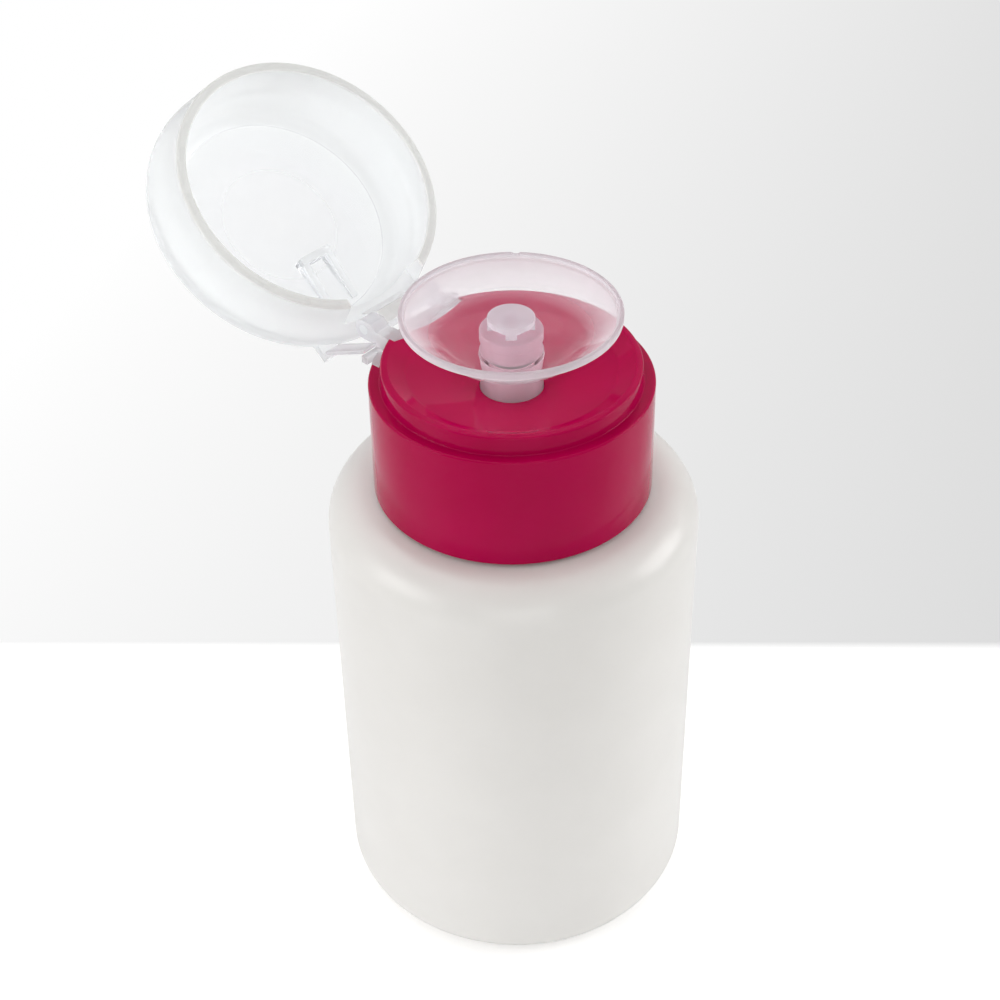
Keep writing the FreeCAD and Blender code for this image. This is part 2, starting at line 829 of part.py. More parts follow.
def valve_cage():
    """Ring with a cross of bars that stops the inlet ball and carries the spring."""
    outer = cylinder_bore - cage_fit
    body = ring(cage_hole_radius, outer, cage_bottom, cage_top)
    half = cage_bar_width / 2
    reach = (cage_hole_radius + outer) / 2
    bar = block(0, reach, -half, half, cage_bottom, cage_top - cage_height / 2)
    return body.fuse(turned_about(bar, cage_bar_count, 0)).removeSplitter()


def dip_tube():
    """Suction tube from the cylinder's socket to the base, with a slanted foot."""
    foot = body_wall + tube_foot_gap
    tube = ring(tube_bore, tube_radius, foot, socket_top())
    reach = 4 * tube_radius
    wedge = block(-reach, reach, 0, reach, -reach, 0)
    wedge.rotate(Vector(0, 0, 0), Vector(1, 0, 0), tube_foot_cut_angle)
    wedge.translate(Vector(0, -tube_radius, foot))
    return tube.cut(wedge)


def pieces():
    """Every piece of the bottle under its name."""
    strap = hinge_strap()
    return {
        "bottle": bottle(),
        "screw_cap": screw_cap(),
        "neck_gasket": neck_gasket(),
        "pump_cylinder": pump_cylinder(),
        "retaining_collar": retaining_collar(),
        "stem_wiper": stem_wiper(),
        "valve_cage": valve_cage(),
        "inlet_ball": inlet_ball(),
        "dip_tube": dip_tube(),
        "return_spring": return_spring(),
        "piston_rod": piston_rod(),
        "piston_seal": piston_seal(),
        "outlet_ball": outlet_ball(),
        "pump_stem": pump_stem(),
        "press_dish": press_dish(),
        "outlet_plug": outlet_plug(),
        "hinge_base": hinge_base(),
        "hinge_strap_left": mirrored(strap),
        "hinge_strap_right": strap,
        "flip_lid": flip_lid(),
    }


os.makedirs("parts", exist_ok=True)
for name, shape in pieces().items():
    shape.exportStep(os.path.join("parts", name + ".step"))
    print(name, "solids", len(shape.Solids), "valid", shape.isValid(), "volume", round(shape.Volume, 2))
print("spring self gap", round(spring_self_gap(), 3))
print("hinge axis", round(hinge_point.y, 3), round(hinge_point.z, 3))
print("strap root", round(strap_root().y, 3), round(strap_root().z, 3), "swing", round(strap_swing(), 3))
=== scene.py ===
import json
import math

import bmesh
import bpy
from mathutils import Matrix, Vector


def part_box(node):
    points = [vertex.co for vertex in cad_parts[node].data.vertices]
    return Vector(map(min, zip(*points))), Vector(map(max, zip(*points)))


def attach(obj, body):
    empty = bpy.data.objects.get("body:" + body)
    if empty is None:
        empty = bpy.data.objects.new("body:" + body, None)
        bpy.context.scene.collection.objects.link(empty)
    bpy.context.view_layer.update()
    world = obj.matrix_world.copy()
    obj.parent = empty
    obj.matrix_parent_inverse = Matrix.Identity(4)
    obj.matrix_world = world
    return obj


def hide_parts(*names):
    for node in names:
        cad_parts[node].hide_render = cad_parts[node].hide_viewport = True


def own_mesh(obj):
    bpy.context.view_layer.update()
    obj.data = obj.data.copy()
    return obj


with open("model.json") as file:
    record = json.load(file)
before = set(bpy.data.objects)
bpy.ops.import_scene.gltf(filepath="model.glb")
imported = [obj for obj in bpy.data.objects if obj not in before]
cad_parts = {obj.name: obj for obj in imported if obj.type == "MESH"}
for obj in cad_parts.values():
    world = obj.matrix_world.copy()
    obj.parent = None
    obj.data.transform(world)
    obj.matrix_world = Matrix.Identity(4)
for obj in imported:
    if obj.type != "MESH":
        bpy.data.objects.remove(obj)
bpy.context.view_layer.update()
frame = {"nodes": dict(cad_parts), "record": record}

# Everything is modelled in millimetres and brought to metres when its mesh is made.
# Heights are from the table, radii from the bottle's axis, and y grows towards the hinge.
MM = 0.001

# How finely round forms are divided
AROUND = 160
PLUG_AROUND = 96
ROD_AROUND = 48
HELIX_STEPS = 72
RIDGE_STEPS = 16
WIRE_STEPS = 20
ARC_STEP = math.radians(7)

# Edges that turn by more than this stay sharp
SHARP_ANGLE = math.radians(38)

# Points this close are one: TINY in a new shape, in millimetres, and SLIVER in a cut mesh, in metres
TINY = 1e-5
SLIVER = 2e-6


def node_box(name):
    """Lowest and highest corners of a solid at rest, in millimetres."""
    low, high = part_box(name)
    return Vector(low) / MM, Vector(high) / MM


def joint_named(name):
    """The record's row of a joint."""
    for joint in frame["record"]["behaviour"]["joints"]:
        if joint["name"] == name:
            return joint
    raise KeyError(name)


# Sizes that the frame gives
BOTTLE_HIGH = node_box("bottle")[1]
CAP_LOW, CAP_HIGH = node_box("screw_cap")
DISH_LOW, DISH_HIGH = node_box("press_dish")
PLUG_HIGH = node_box("outlet_plug")[1]
BASE_LOW = node_box("hinge_base")[0]
SPRING_LOW, SPRING_HIGH = node_box("return_spring")
LID_HINGE = Vector(joint_named("lid_swing")["pos_m"]) / MM
LID_OPEN = math.radians(joint_named("lid_swing")["range_deg"][1])
STRAP_ROOT = Vector(joint_named("strap_swing")["pos_m"]) / MM
FULL_LIFT = joint_named("pump_lift")["range_m"][1] / MM
FULL_TURN = joint_named("cap_unscrew")["range_deg"][1]

# Small roundings, how far a cut goes past a face, how far joined blocks reach into each other,
# and how close to a face a point counts as on it
EDGE = 0.35
FINE = 0.2
PAST = 1.0
BITE = 0.3
CLOSE = 0.05

# Bottle
BODY_RADIUS = BOTTLE_HIGH.x
BODY_WALL = 1.2
BASE_ROUND = 4.6
SHOULDER_HEIGHT = 81.9
SHOULDER_RISE = 0.4
SHOULDER_ROUND = 6.5
NECK_RADIUS = 18.8
NECK_WALL = 1.6
NECK_ROUND = 0.8
NECK_TOP = BOTTLE_HIGH.z

# Screw threads
THREAD_PITCH = FULL_LIFT * 360 / FULL_TURN
THREAD_START = SHOULDER_HEIGHT + 2.3
THREAD_TURNS = 2.5
THREAD_RIDGE = 0.85
RUN_OUT = 0.12
RUN_OUT_RIDGE = 0.15

# Screw cap
CAP_RADIUS = CAP_HIGH.x
CAP_TOP_RADIUS = 22.18
CAP_BOTTOM = CAP_LOW.z
CAP_BORE = 20.3
LEDGE = 102.0
SEAT_TOP = CAP_HIGH.z
SEAT_RADIUS = 20.4
SEAT_EDGE = 20.15
SEAT_INSIDE = 19.05
BOWL_RADIUS = 16.3
BOWL_HEIGHT = 103.4
BOWL_ROUND = 3.2
HUB_HOLE = 4.98
FLOOR_TOP = 100.6
FLANGE_TOP = 98.8
CAP_CEILING = 97.3
COLLAR_INSIDE = 9.4
COLLAR_OUTSIDE = 14.5
GASKET_SEAT = 18.6
FLOOR_UNDER_IN = 99.99
FLOOR_UNDER_OUT = 101.25

# Hinge of the lid
ROOM = 0.1
INSERT_HALF = 11.5
INSERT_BOTTOM = BASE_LOW.z
INSERT_INSIDE = 20.88
INSERT_SOFT = 0.12
BLOCK_HALF = 7.8
BLOCK_FRONT = BASE_LOW.y
BLOCK_BACK = 21.4
BLOCK_FLOOR = 100.8
BLOCK_TOP = 104.6
BLOCK_BITE = 0.5
ARM_FRONT = BLOCK_FRONT + 0.2
ARM_INSIDE = 4.7
ARM_OUTSIDE = 7.7
ARM_SLOPE = 1.08
EYE_RADIUS = 1.7
EYE_FRONT = LID_HINGE.y - EYE_RADIUS
EYE_BACK = LID_HINGE.y + EYE_RADIUS
EYE_UNDER = LID_HINGE.z - EYE_RADIUS
EYE_OVER = LID_HINGE.z + EYE_RADIUS
TRUNNION_RADIUS = 0.85
BORE_ROOM = 0.05
SHELF_FRONT = 20.5
SHELF_BACK = 21.66
STRAP_INSIDE = 8.0
STRAP_OUTSIDE = 11.0
STRAP_THICK = 0.7
STRAP_ROUND = 0.49 * STRAP_THICK
STRAP_SOFT = 0.1
STRAP_END = Vector((0, 29.775, 98.86))

# Flip lid, shut
LID_RIM = 102.15
LID_HEIGHT = 14.6
LID_TOP = LID_RIM + LID_HEIGHT
LID_SKIN = 1.5
LID_CEILING = LID_TOP - LID_SKIN
LID_RIM_INSIDE = 20.8
LID_RIM_RADIUS = 22.13
LID_RIM_ROUND = 0.62
LID_TOP_INSIDE = 19.88
LID_TOP_RADIUS = 25.1
LID_INSIDE_ROUND = 2.9
LID_OUTSIDE_ROUND = 5.0
LID_DISC_RADIUS = LID_TOP_INSIDE - 2
NOTCH_HALF = 8.15
NOTCH_FRONT = 11
NOTCH_TOP = 106.57
KNUCKLE_ROOM = 0.3
KNUCKLE_HALF = ARM_INSIDE - KNUCKLE_ROOM
KNUCKLE_ROUND = 0.7
KNUCKLE_FRONT = 21.54
KNUCKLE_BACK = 23.84
KNUCKLE_TOP = 110.55
KNUCKLE_CHIN = 104.92
LUG_FRONT = 20.5
LUG_BACK = 24.1
LUG_LOW = 112.21
LUG_HIGH = 113.51
FRAME_RIB = 1.2
FRAME_HALF = 3.2
FRAME_FRONT = 7.5
FRAME_BACK = 16.98
FRAME_DEEP = 2.2
FRAME_SHALLOW = 0.6

# Press dish
DISH_RADIUS = DISH_HIGH.x
DISH_TOP = DISH_HIGH.z
DISH_ROUND = 9
PAN_INSIDE = Vector((8.6, 107.4))
PAN_OUTSIDE = Vector((9.1, 106.4))
PAN_UNDER = 106.1
RIM_WIDTH = 0.55
RIM_DEPTH = 1.25
RIM_NECK = 16.27
MILKY_RIM_WIDTH = 0.85
HUB_BOTTOM = DISH_LOW.z
HUB_RADIUS = 4.9
STEM_RADIUS = 3.6
STEM_TOP = 104.5
OUTLET_RADIUS = 2.25
BOSS_TOP = 111.0
BOSS_UNDER = 109.2
BOSS_GROOVE_RADIUS = 4.7
BOSS_GROOVE_TOP = 109.0
BOSS_GROOVE_FLOOR = 107.1
GATE_NICK = 0.35
GATE_ROUND = 1.0
GATE_REACH = 1.4
GATE_TURN = math.radians(38.7)

# A milky rim fades out over this share of its wall
RIM_FADE = 0.06

# Outlet plug
PLUG_RADIUS = PLUG_HIGH.x
PLUG_TOP = PLUG_HIGH.z
PLUG_UNDER = 112.0
PLUG_SOFT = 0.08
PLUG_MILK = 0.4
SHANK_BOTTOM = 108.0
SHANK_ROOM = 0.02
SHANK_RADIUS = OUTLET_RADIUS - SHANK_ROOM
TAB_WIDTH = 1.7
TAB_DEPTH = 1.1
TAB_HEIGHT = 1.2
TAB_SET_IN = 0.06
TAB_TURN = math.radians(41.7)
TAB_COUNT = 4
PLUG_GROOVE_WIDTH = 0.9
PLUG_GROOVE_DEPTH = 1.4
PLUG_GROOVE_HEIGHT = 4.2
PLUG_GROOVE_MIDDLE = PLUG_UNDER - 2.2

# Return spring
SPRING_WIRE = 0.45
SPRING_TURNS = 6
SPRING_RADIUS = 4.6


# Shapes

def rounded(corners):
    """Points round a closed outline of (a, b, radius) corners, each rounding a fine arc."""
    points = []
    for i, (a, b, radius) in enumerate(corners):
        here = Vector((a, b))
        if not radius:
            points.append(here)
            continue
        back = (Vector(corners[i - 1][:2]) - here).normalized()
        ahead = (Vector(corners[(i + 1) % len(corners)][:2]) - here).normalized()
        half = back.angle(ahead) / 2
        centre = here + (back + ahead).normalized() * (radius / math.sin(half))
        start = here + back * (radius / math.tan(half)) - centre
        end = here + ahead * (radius / math.tan(half)) - centre
        sweep = math.pi - 2 * half
        steps = max(2, math.ceil(sweep / ARC_STEP))
        way = 1 if start.x * end.y > start.y * end.x else -1
        for k in range(steps + 1):
            points.append(centre + Matrix.Rotation(way * sweep * k / steps, 2) @ start)
    return points


def piece_from(name, shape):
    """An object made from a bmesh in millimetres, smooth between its sharp edges."""
    bmesh.ops.remove_doubles(shape, verts=shape.verts, dist=TINY)
    bmesh.ops.recalc_face_normals(shape, faces=shape.faces)
    bmesh.ops.scale(shape, vec=(MM, MM, MM), verts=shape.verts)
    mesh = bpy.data.meshes.new(name)
    shape.to_mesh(mesh)
    shape.free()
    piece = bpy.data.objects.new(name, mesh)
    bpy.context.collection.objects.link(piece)
    smooth(piece)
    return piece


def smooth(piece):
    """Smooth shading that stops at sharp edges."""
    piece.data.shade_smooth()
    piece.data.set_sharp_from_angle(angle=SHARP_ANGLE)


def turned(name, corners, around=AROUND):
    """A solid turned about the bottle's axis from a closed outline of (radius, height, rounding)."""
    shape = bmesh.new()
    rings = []
    for radius, height in rounded(corners):
        if radius < TINY:
            rings.append([shape.verts.new((0, 0, height))])
            continue
        ring = []
        for k in range(around):
            angle = 2 * math.pi * k / around
            ring.append(shape.verts.new((radius * math.cos(angle), radius * math.sin(angle), height)))
        rings.append(ring)
    for i, ring in enumerate(rings):
        below = rings[i - 1]
        if len(ring) == 1 and len(below) == 1:
            continue
        for k in range(around):
            after = (k + 1) % around
            face = [ring[k % len(ring)], ring[after % len(ring)]]
            face += [below[after % len(below)], below[k % len(below)]]
            shape.faces.new(list(dict.fromkeys(face)))
    return piece_from(name, shape)


def slab(name, corners, low, high):
    """A plate across x between low and high, from a closed outline of (y, z, rounding) corners."""
    shape = bmesh.new()
    outline = rounded(corners)
    left = [shape.verts.new((low, y, z)) for y, z in outline]
    right = [shape.verts.new((high, y, z)) for y, z in outline]
    shape.faces.new(left)
    shape.faces.new(right)
    for k in range(len(outline)):
        shape.faces.new((left[k - 1], left[k], right[k], right[k - 1]))
    return piece_from(name, shape)


def block(name, x, y, z):
    """A block between (low, high) pairs in x, y and z."""
    return slab(name, [(y[0], z[0], 0), (y[1], z[0], 0), (y[1], z[1], 0), (y[0], z[1], 0)], *x)


def rod(name, centre, radius, low, high):
    """A round rod along x."""
    shape = bmesh.new()
    bmesh.ops.create_cone(
        shape, cap_ends=True, segments=ROD_AROUND, radius1=radius, radius2=radius, depth=high - low)
    turn = Matrix.Rotation(math.pi / 2, 4, "Y")
    place = Matrix.Translation(((low + high) / 2, centre.y, centre.z))
    bmesh.ops.transform(shape, matrix=place @ turn, verts=shape.verts)
    return piece_from(name, shape)


def mend(mesh):
    """Merge the points and drop the slivers that cutting leaves."""
    shape = bmesh.new()
    shape.from_mesh(mesh)
    bmesh.ops.remove_doubles(shape, verts=shape.verts, dist=SLIVER)
    bmesh.ops.dissolve_degenerate(shape, edges=shape.edges, dist=SLIVER)
    shape.to_mesh(mesh)
    shape.free()


def settle(piece):
    """Apply the piece's modifiers and keep the result as its mesh."""
    seen = piece.evaluated_get(bpy.context.evaluated_depsgraph_get())
    mesh = bpy.data.meshes.new_from_object(seen)
    mesh.name = piece.name
    mend(mesh)
    piece.modifiers.clear()
    piece.data = mesh
    smooth(piece)


def carve(piece, tool, operation):
    """Join the tool to the piece, cut it away or keep what they share; the tool is used up."""
    cut = piece.modifiers.new("carve", "BOOLEAN")
    cut.operation = operation
    cut.solver = "EXACT"
    cut.object = tool
    settle(piece)
    bpy.data.objects.remove(tool)


def soften(piece, width):
    """Round the piece's sharp edges a little."""
    bevel = piece.modifiers.new("soften", "BEVEL")
    bevel.width = width * MM
    bevel.segments = 2
    bevel.limit_method = "ANGLE"
    bevel.angle_limit = SHARP_ANGLE
    settle(piece)


def moved(piece, matrix):
    """Move the piece's mesh, given in millimetres."""
    scale = Matrix.Scale(MM, 4)
    piece.data.transform(scale @ matrix @ scale.inverted())
    return piece


def turn_about_x(point, angle):
    """A turn about the line along x through a point."""
    return Matrix.Translation(point) @ Matrix.Rotation(angle, 4, "X") @ Matrix.Translation(-point)


# Geometry Nodes: screw threads, the return spring and the plug's tabs

def new_tree(name, sizes):
    """A node tree with one named input per size, a finish and a mesh output."""
    tree = bpy.data.node_groups.new(name, "GeometryNodeTree")
    tree.interface.new_socket("Mesh", in_out="OUTPUT", socket_type="NodeSocketGeometry")
    for size in sizes:
        tree.interface.new_socket(size, in_out="INPUT", socket_type="NodeSocketFloat")
    tree.interface.new_socket("Finish", in_out="INPUT", socket_type="NodeSocketMaterial")
    return tree, tree.nodes.new("NodeGroupInput")


def add(tree, kind, links=None, values=None):
    """A node with some inputs linked and others given values; other settings are set by name."""
    node = tree.nodes.new(kind)
    for key, value in (values or {}).items():
        if isinstance(key, str) and hasattr(node, key):
            setattr(node, key, value)
        else:
            node.inputs[key].default_value = value
    for key, socket in (links or {}).items():
        tree.links.new(socket, node.inputs[key])
    return node


def spread(tree, socket, start, end, low, high):
    """A value carried from start..end over to low..high, held at both ends."""
    return add(tree, "ShaderNodeMapRange", {0: socket}, {1: start, 2: end, 3: low, 4: high})


def maths(tree, operation, *terms):
    """One sum on sockets and plain numbers."""
    node = add(tree, "ShaderNodeMath", {}, {"operation": operation})
    for slot, term in enumerate(terms):
        if isinstance(term, (int, float)):
            node.inputs[slot].default_value = term
        else:
            tree.links.new(term, node.inputs[slot])
    return node.outputs[0]


def close_tree(tree, given, mesh):
    """End a tree in realised instances and its finish."""
    real = add(tree, "GeometryNodeRealizeInstances", {0: mesh})
    finish = add(tree, "GeometryNodeSetMaterial", {
        "Geometry": real.outputs[0], "Material": given.outputs["Finish"]})
    end = tree.nodes.new("NodeGroupOutput")
    tree.links.new(finish.outputs[0], end.inputs[0])


def grown(name, tree, sizes, finish):
    """A plain mesh piece grown by a tree from sizes in millimetres (or plain counts)."""
    piece = bpy.data.objects.new(name, bpy.data.meshes.new(name))
    bpy.context.collection.objects.link(piece)
    grow = piece.modifiers.new("grow", "NODES")
    grow.node_group = tree
    for item in tree.interface.items_tree:
        if item.in_out == "INPUT" and item.name in sizes:
            grow[item.identifier] = float(sizes[item.name])
        elif item.in_out == "INPUT":
            grow[item.identifier] = finish
    settle(piece)
    return moved(piece, Matrix.Scale(MM, 4))


def helix(tree, given):
    """A right-handed spiral of one radius from a start height, with its side facing outwards."""
    rise = maths(tree, "MULTIPLY", given.outputs["Pitch"], given.outputs["Turns"])
    spiral = add(tree, "GeometryNodeCurveSpiral", {
        "Rotations": given.outputs["Turns"], "Start Radius": given.outputs["Radius"],
        "End Radius": given.outputs["Radius"], "Height": rise},
        {"Resolution": HELIX_STEPS, "Reverse": True})
    lift = add(tree, "ShaderNodeCombineXYZ", {"Z": given.outputs["Start height"]})
    placed = add(tree, "GeometryNodeTransform", {
        "Geometry": spiral.outputs[0], "Translation": lift.outputs[0]})
    return add(tree, "GeometryNodeSetCurveNormal", {"Curve": placed.outputs[0]}, {"mode": "Z_UP"})


def thread_tree():
    """A thread ridge along a helix, running out at both ends."""
    tree, given = new_tree("thread_ridge", ("Radius", "Pitch", "Turns", "Start height", "Ridge"))
    path = helix(tree, given)
    along = tree.nodes.new("GeometryNodeSplineParameter")
    from_end = maths(tree, "PINGPONG", along.outputs["Factor"], 0.5)
    swell = spread(tree, from_end, 0, RUN_OUT, RUN_OUT_RIDGE, 1)
    ridge = add(tree, "GeometryNodeCurvePrimitiveCircle", {"Radius": given.outputs["Ridge"]},
                {"Resolution": RIDGE_STEPS})
    sweep = add(tree, "GeometryNodeCurveToMesh", {
        "Curve": path.outputs[0], "Profile Curve": ridge.outputs[0], "Scale": swell.outputs[0]},
        {"Fill Caps": True})
    close_tree(tree, given, sweep.outputs[0])
    return tree


def coil_tree():
    """A round wire wound along a helix."""
    tree, given = new_tree("spring_coil", ("Radius", "Pitch", "Turns", "Start height", "Wire radius"))
    path = helix(tree, given)
    wire = add(tree, "GeometryNodeCurvePrimitiveCircle", {"Radius": given.outputs["Wire radius"]},
               {"Resolution": WIRE_STEPS})
    sweep = add(tree, "GeometryNodeCurveToMesh", {
        "Curve": path.outputs[0], "Profile Curve": wire.outputs[0]}, {"Fill Caps": True})
    close_tree(tree, given, sweep.outputs[0])
    return tree


def tab_tree():
    """Square tabs set round a ring."""
    sizes = ("Count", "Ring radius", "Width", "Depth", "Height", "Middle height", "First turn")
    tree, given = new_tree("ring_of_tabs", sizes)
    size = add(tree, "ShaderNodeCombineXYZ", {
        "X": given.outputs["Depth"], "Y": given.outputs["Width"], "Z": given.outputs["Height"]})
    tab = add(tree, "GeometryNodeMeshCube", {"Size": size.outputs[0]})
    places = add(tree, "GeometryNodePoints", {"Count": given.outputs["Count"]})
    number = tree.nodes.new("GeometryNodeInputIndex")
    step = maths(tree, "DIVIDE", 2 * math.pi, given.outputs["Count"])
    angle = maths(tree, "MULTIPLY_ADD", number.outputs[0], step, given.outputs["First turn"])
    flat = add(tree, "ShaderNodeCombineXYZ", {
        "X": maths(tree, "COSINE", angle), "Y": maths(tree, "SINE", angle)})
    out = add(tree, "ShaderNodeVectorMath", {0: flat.outputs[0], "Scale": given.outputs["Ring radius"]},
              {"operation": "SCALE"})
    lift = add(tree, "ShaderNodeCombineXYZ", {"Z": given.outputs["Middle height"]})
    spot = add(tree, "ShaderNodeVectorMath", {0: out.outputs[0], 1: lift.outputs[0]}, {"operation": "ADD"})
    set_out = add(tree, "GeometryNodeSetPosition", {
        "Geometry": places.outputs[0], "Position": spot.outputs[0]})
    facing = add(tree, "ShaderNodeCombineXYZ", {"Z": angle})
    turn = add(tree, "FunctionNodeEulerToRotation", {0: facing.outputs[0]})
    tabs = add(tree, "GeometryNodeInstanceOnPoints", {
        "Points": set_out.outputs[0], "Instance": tab.outputs[0], "Rotation": turn.outputs[0]})
    close_tree(tree, given, tabs.outputs[0])
    return tree


# Materials

# Sizes of the moulding's faint marks in millimetres, and the part of the noise that is used
FLOW_SIZE = 14
POLISH_SIZE = 3
RELIEF_SIZE = 2.2
RELIEF_DETAIL = 2.0
NOISE_SPAN = (0.3, 0.7)
# Painted light and shade on the bottle: how much its colour is brightened at its base and dimmed at its
# shoulder
BASE_PAINTED_LIGHT = 1.08
SHOULDER_PAINTED_SHADE = 0.91
# Clear plastic: drift of its tint and polish, its relief in millimetres, and the opaque share of its milk
TINT_DRIFT = 1.02
POLISH_DRIFT = (0.8, 1.2)
CLEAR_RELIEF = 0.0006
MILK_BODY = 0.45


def new_finish(name):
    """An empty material with its shader and output."""
    finish = bpy.data.materials.new(name)
    finish.use_nodes = True
    tree = finish.node_tree
    tree.nodes.clear()
    shader = tree.nodes.new("ShaderNodeBsdfPrincipled")
    output = tree.nodes.new("ShaderNodeOutputMaterial")
    tree.links.new(shader.outputs[0], output.inputs["Surface"])
    return finish, tree, shader, output


def grain(tree, size, detail=3.0):
    """Noise on the piece's own coordinates, with features of about a size in millimetres."""
    place = tree.nodes.new("ShaderNodeTexCoord")
    return add(tree, "ShaderNodeTexNoise", {"Vector": place.outputs["Object"]},
               {"Scale": 1 / (size * MM), "Detail": detail})


def vary_colour(tree, shader, noise, dark, light):
    """Let the base colour drift between two near shades."""
    ramp = add(tree, "ShaderNodeValToRGB", {0: noise.outputs["Fac"]})
    for end, place, shade in zip(ramp.color_ramp.elements, NOISE_SPAN, (dark, light)):
        end.position = place
        end.color = (*shade, 1)
    tree.links.new(ramp.outputs[0], shader.inputs["Base Color"])


def vary_roughness(tree, shader, noise, low, high):
    """Let the roughness drift between two values."""
    polish = spread(tree, noise.outputs["Fac"], *NOISE_SPAN, low, high)
    tree.links.new(polish.outputs[0], shader.inputs["Roughness"])


def add_bump(tree, shader, noise, height):
    """A faint relief of a height in millimetres."""
    bump = add(tree, "ShaderNodeBump", {"Height": noise.outputs["Fac"]},
               {"Strength": 1.0, "Distance": height * MM})
    tree.links.new(bump.outputs[0], shader.inputs["Normal"])


def moulded_plastic(name, dark, light, low, high, relief=0.004):
    """Solid-coloured moulded plastic with faint flow shading."""
    finish, tree, shader, _ = new_finish(name)
    vary_colour(tree, shader, grain(tree, FLOW_SIZE), dark, light)
    vary_roughness(tree, shader, grain(tree, POLISH_SIZE), low, high)
    add_bump(tree, shader, grain(tree, RELIEF_SIZE, RELIEF_DETAIL), relief)
    return finish, tree, shader


def milky_bottle():
    """Blown, milky translucent plastic with painted light: its colour is painted paler near the base, for
    the light that comes in from the table, and darker at the shoulder.
    """
    finish, tree, shader = moulded_plastic(
        "bottle_milky_plastic", dark=(0.86, 0.835, 0.795), light=(0.885, 0.86, 0.82),
        low=0.30, high=0.38, relief=0.003)
    colour = shader.inputs["Base Color"].links[0].from_socket
    place = tree.nodes.new("ShaderNodeTexCoord")
    height = add(tree, "ShaderNodeSeparateXYZ", {0: place.outputs["Object"]})
    # Painted light and shade: the colour is scaled up towards the base and down towards the shoulder
    glow = spread(tree, height.outputs["Z"], 0, SHOULDER_HEIGHT * MM, BASE_PAINTED_LIGHT, SHOULDER_PAINTED_SHADE)
    lit = add(tree, "ShaderNodeVectorMath", {0: colour, "Scale": glow.outputs[0]}, {"operation": "SCALE"})
    tree.links.new(lit.outputs[0], shader.inputs["Base Color"])
    shader.inputs["Subsurface Weight"].default_value = 0.5
    shader.inputs["Subsurface Radius"].default_value = (1.0, 1.0, 1.0)
    shader.inputs["Subsurface Scale"].default_value = 0.004
    shader.inputs["IOR"].default_value = 1.5
    shader.inputs["Coat Weight"].default_value = 0.25
    shader.inputs["Coat Roughness"].default_value = 0.2
    return finish


def glossy_magenta():
    """Deep glossy magenta plastic."""
    finish, _, shader = moulded_plastic(
        "cap_glossy_magenta", dark=(0.36, 0.0003, 0.048), light=(0.4, 0.0004, 0.058),
        low=0.03, high=0.055, relief=0.001)
    shader.inputs["IOR"].default_value = 1.5
    shader.inputs["Specular IOR Level"].default_value = 0.085
    shader.inputs["Subsurface Weight"].default_value = 0.12
    shader.inputs["Subsurface Radius"].default_value = (1.0, 0.1, 0.25)
    shader.inputs["Subsurface Scale"].default_value = 0.0015
    return finish


def clear_plastic(name, tint, rough, frosted, clouds, shade, ior=1.45):
    """Clear moulded plastic that lets lamps through, frosted and milky where the piece's milk says.

    Each cloud is a tint and its share, from the clearest places to the milkiest.
    """
    finish, tree, shader, output = new_finish(name)
    paler = [min(1, part * TINT_DRIFT) for part in tint]
    vary_colour(tree, shader, grain(tree, FLOW_SIZE), tint, paler)
    add_bump(tree, shader, grain(tree, RELIEF_SIZE, RELIEF_DETAIL), CLEAR_RELIEF)
    amount = add(tree, "ShaderNodeAttribute", {}, {"attribute_name": "milk"}).outputs["Fac"]
    clear = spread(tree, amount, 0, 1, rough, frosted)
    flow = spread(tree, grain(tree, POLISH_SIZE).outputs["Fac"], *NOISE_SPAN, *POLISH_DRIFT)
    polish = maths(tree, "MULTIPLY", clear.outputs[0], flow.outputs[0])
    tree.links.new(polish, shader.inputs["Roughness"])
    shader.inputs["Transmission Weight"].default_value = 1.0
    shader.inputs["IOR"].default_value = ior
    tone = add(tree, "ShaderNodeValToRGB", {0: amount})
    while len(tone.color_ramp.elements) < len(clouds):
        tone.color_ramp.elements.new(0.5)
    for step, cloud in enumerate(clouds):
        tone.color_ramp.elements[step].position = step / (len(clouds) - 1)
        tone.color_ramp.elements[step].color = cloud
    glow = add(tree, "ShaderNodeBsdfTranslucent", {"Color": tone.outputs["Color"]})
    body = add(tree, "ShaderNodeBsdfDiffuse", {"Color": tone.outputs["Color"]})
    cloud = add(tree, "ShaderNodeMixShader", {1: glow.outputs[0], 2: body.outputs[0]}, {0: MILK_BODY})
    solid = add(tree, "ShaderNodeMixShader", {
        0: tone.outputs["Alpha"], 1: shader.outputs[0], 2: cloud.outputs[0]})
    through = tree.nodes.new("ShaderNodeBsdfTransparent")
    through.inputs["Color"].default_value = (*shade, 1)
    ray = tree.nodes.new("ShaderNodeLightPath")
    blend = add(tree, "ShaderNodeMixShader", {
        0: ray.outputs["Is Shadow Ray"], 1: solid.outputs[0], 2: through.outputs[0]})
    tree.links.new(blend.outputs[0], output.inputs["Surface"])
    return finish


def bright_steel():
    """Drawn steel, faintly streaked."""
    finish, _, shader = moulded_plastic(
        "spring_bright_steel", dark=(0.50, 0.50, 0.49), light=(0.62, 0.62, 0.61),
        low=0.22, high=0.34, relief=0.002)
    shader.inputs["Metallic"].default_value = 1.0
    return finish


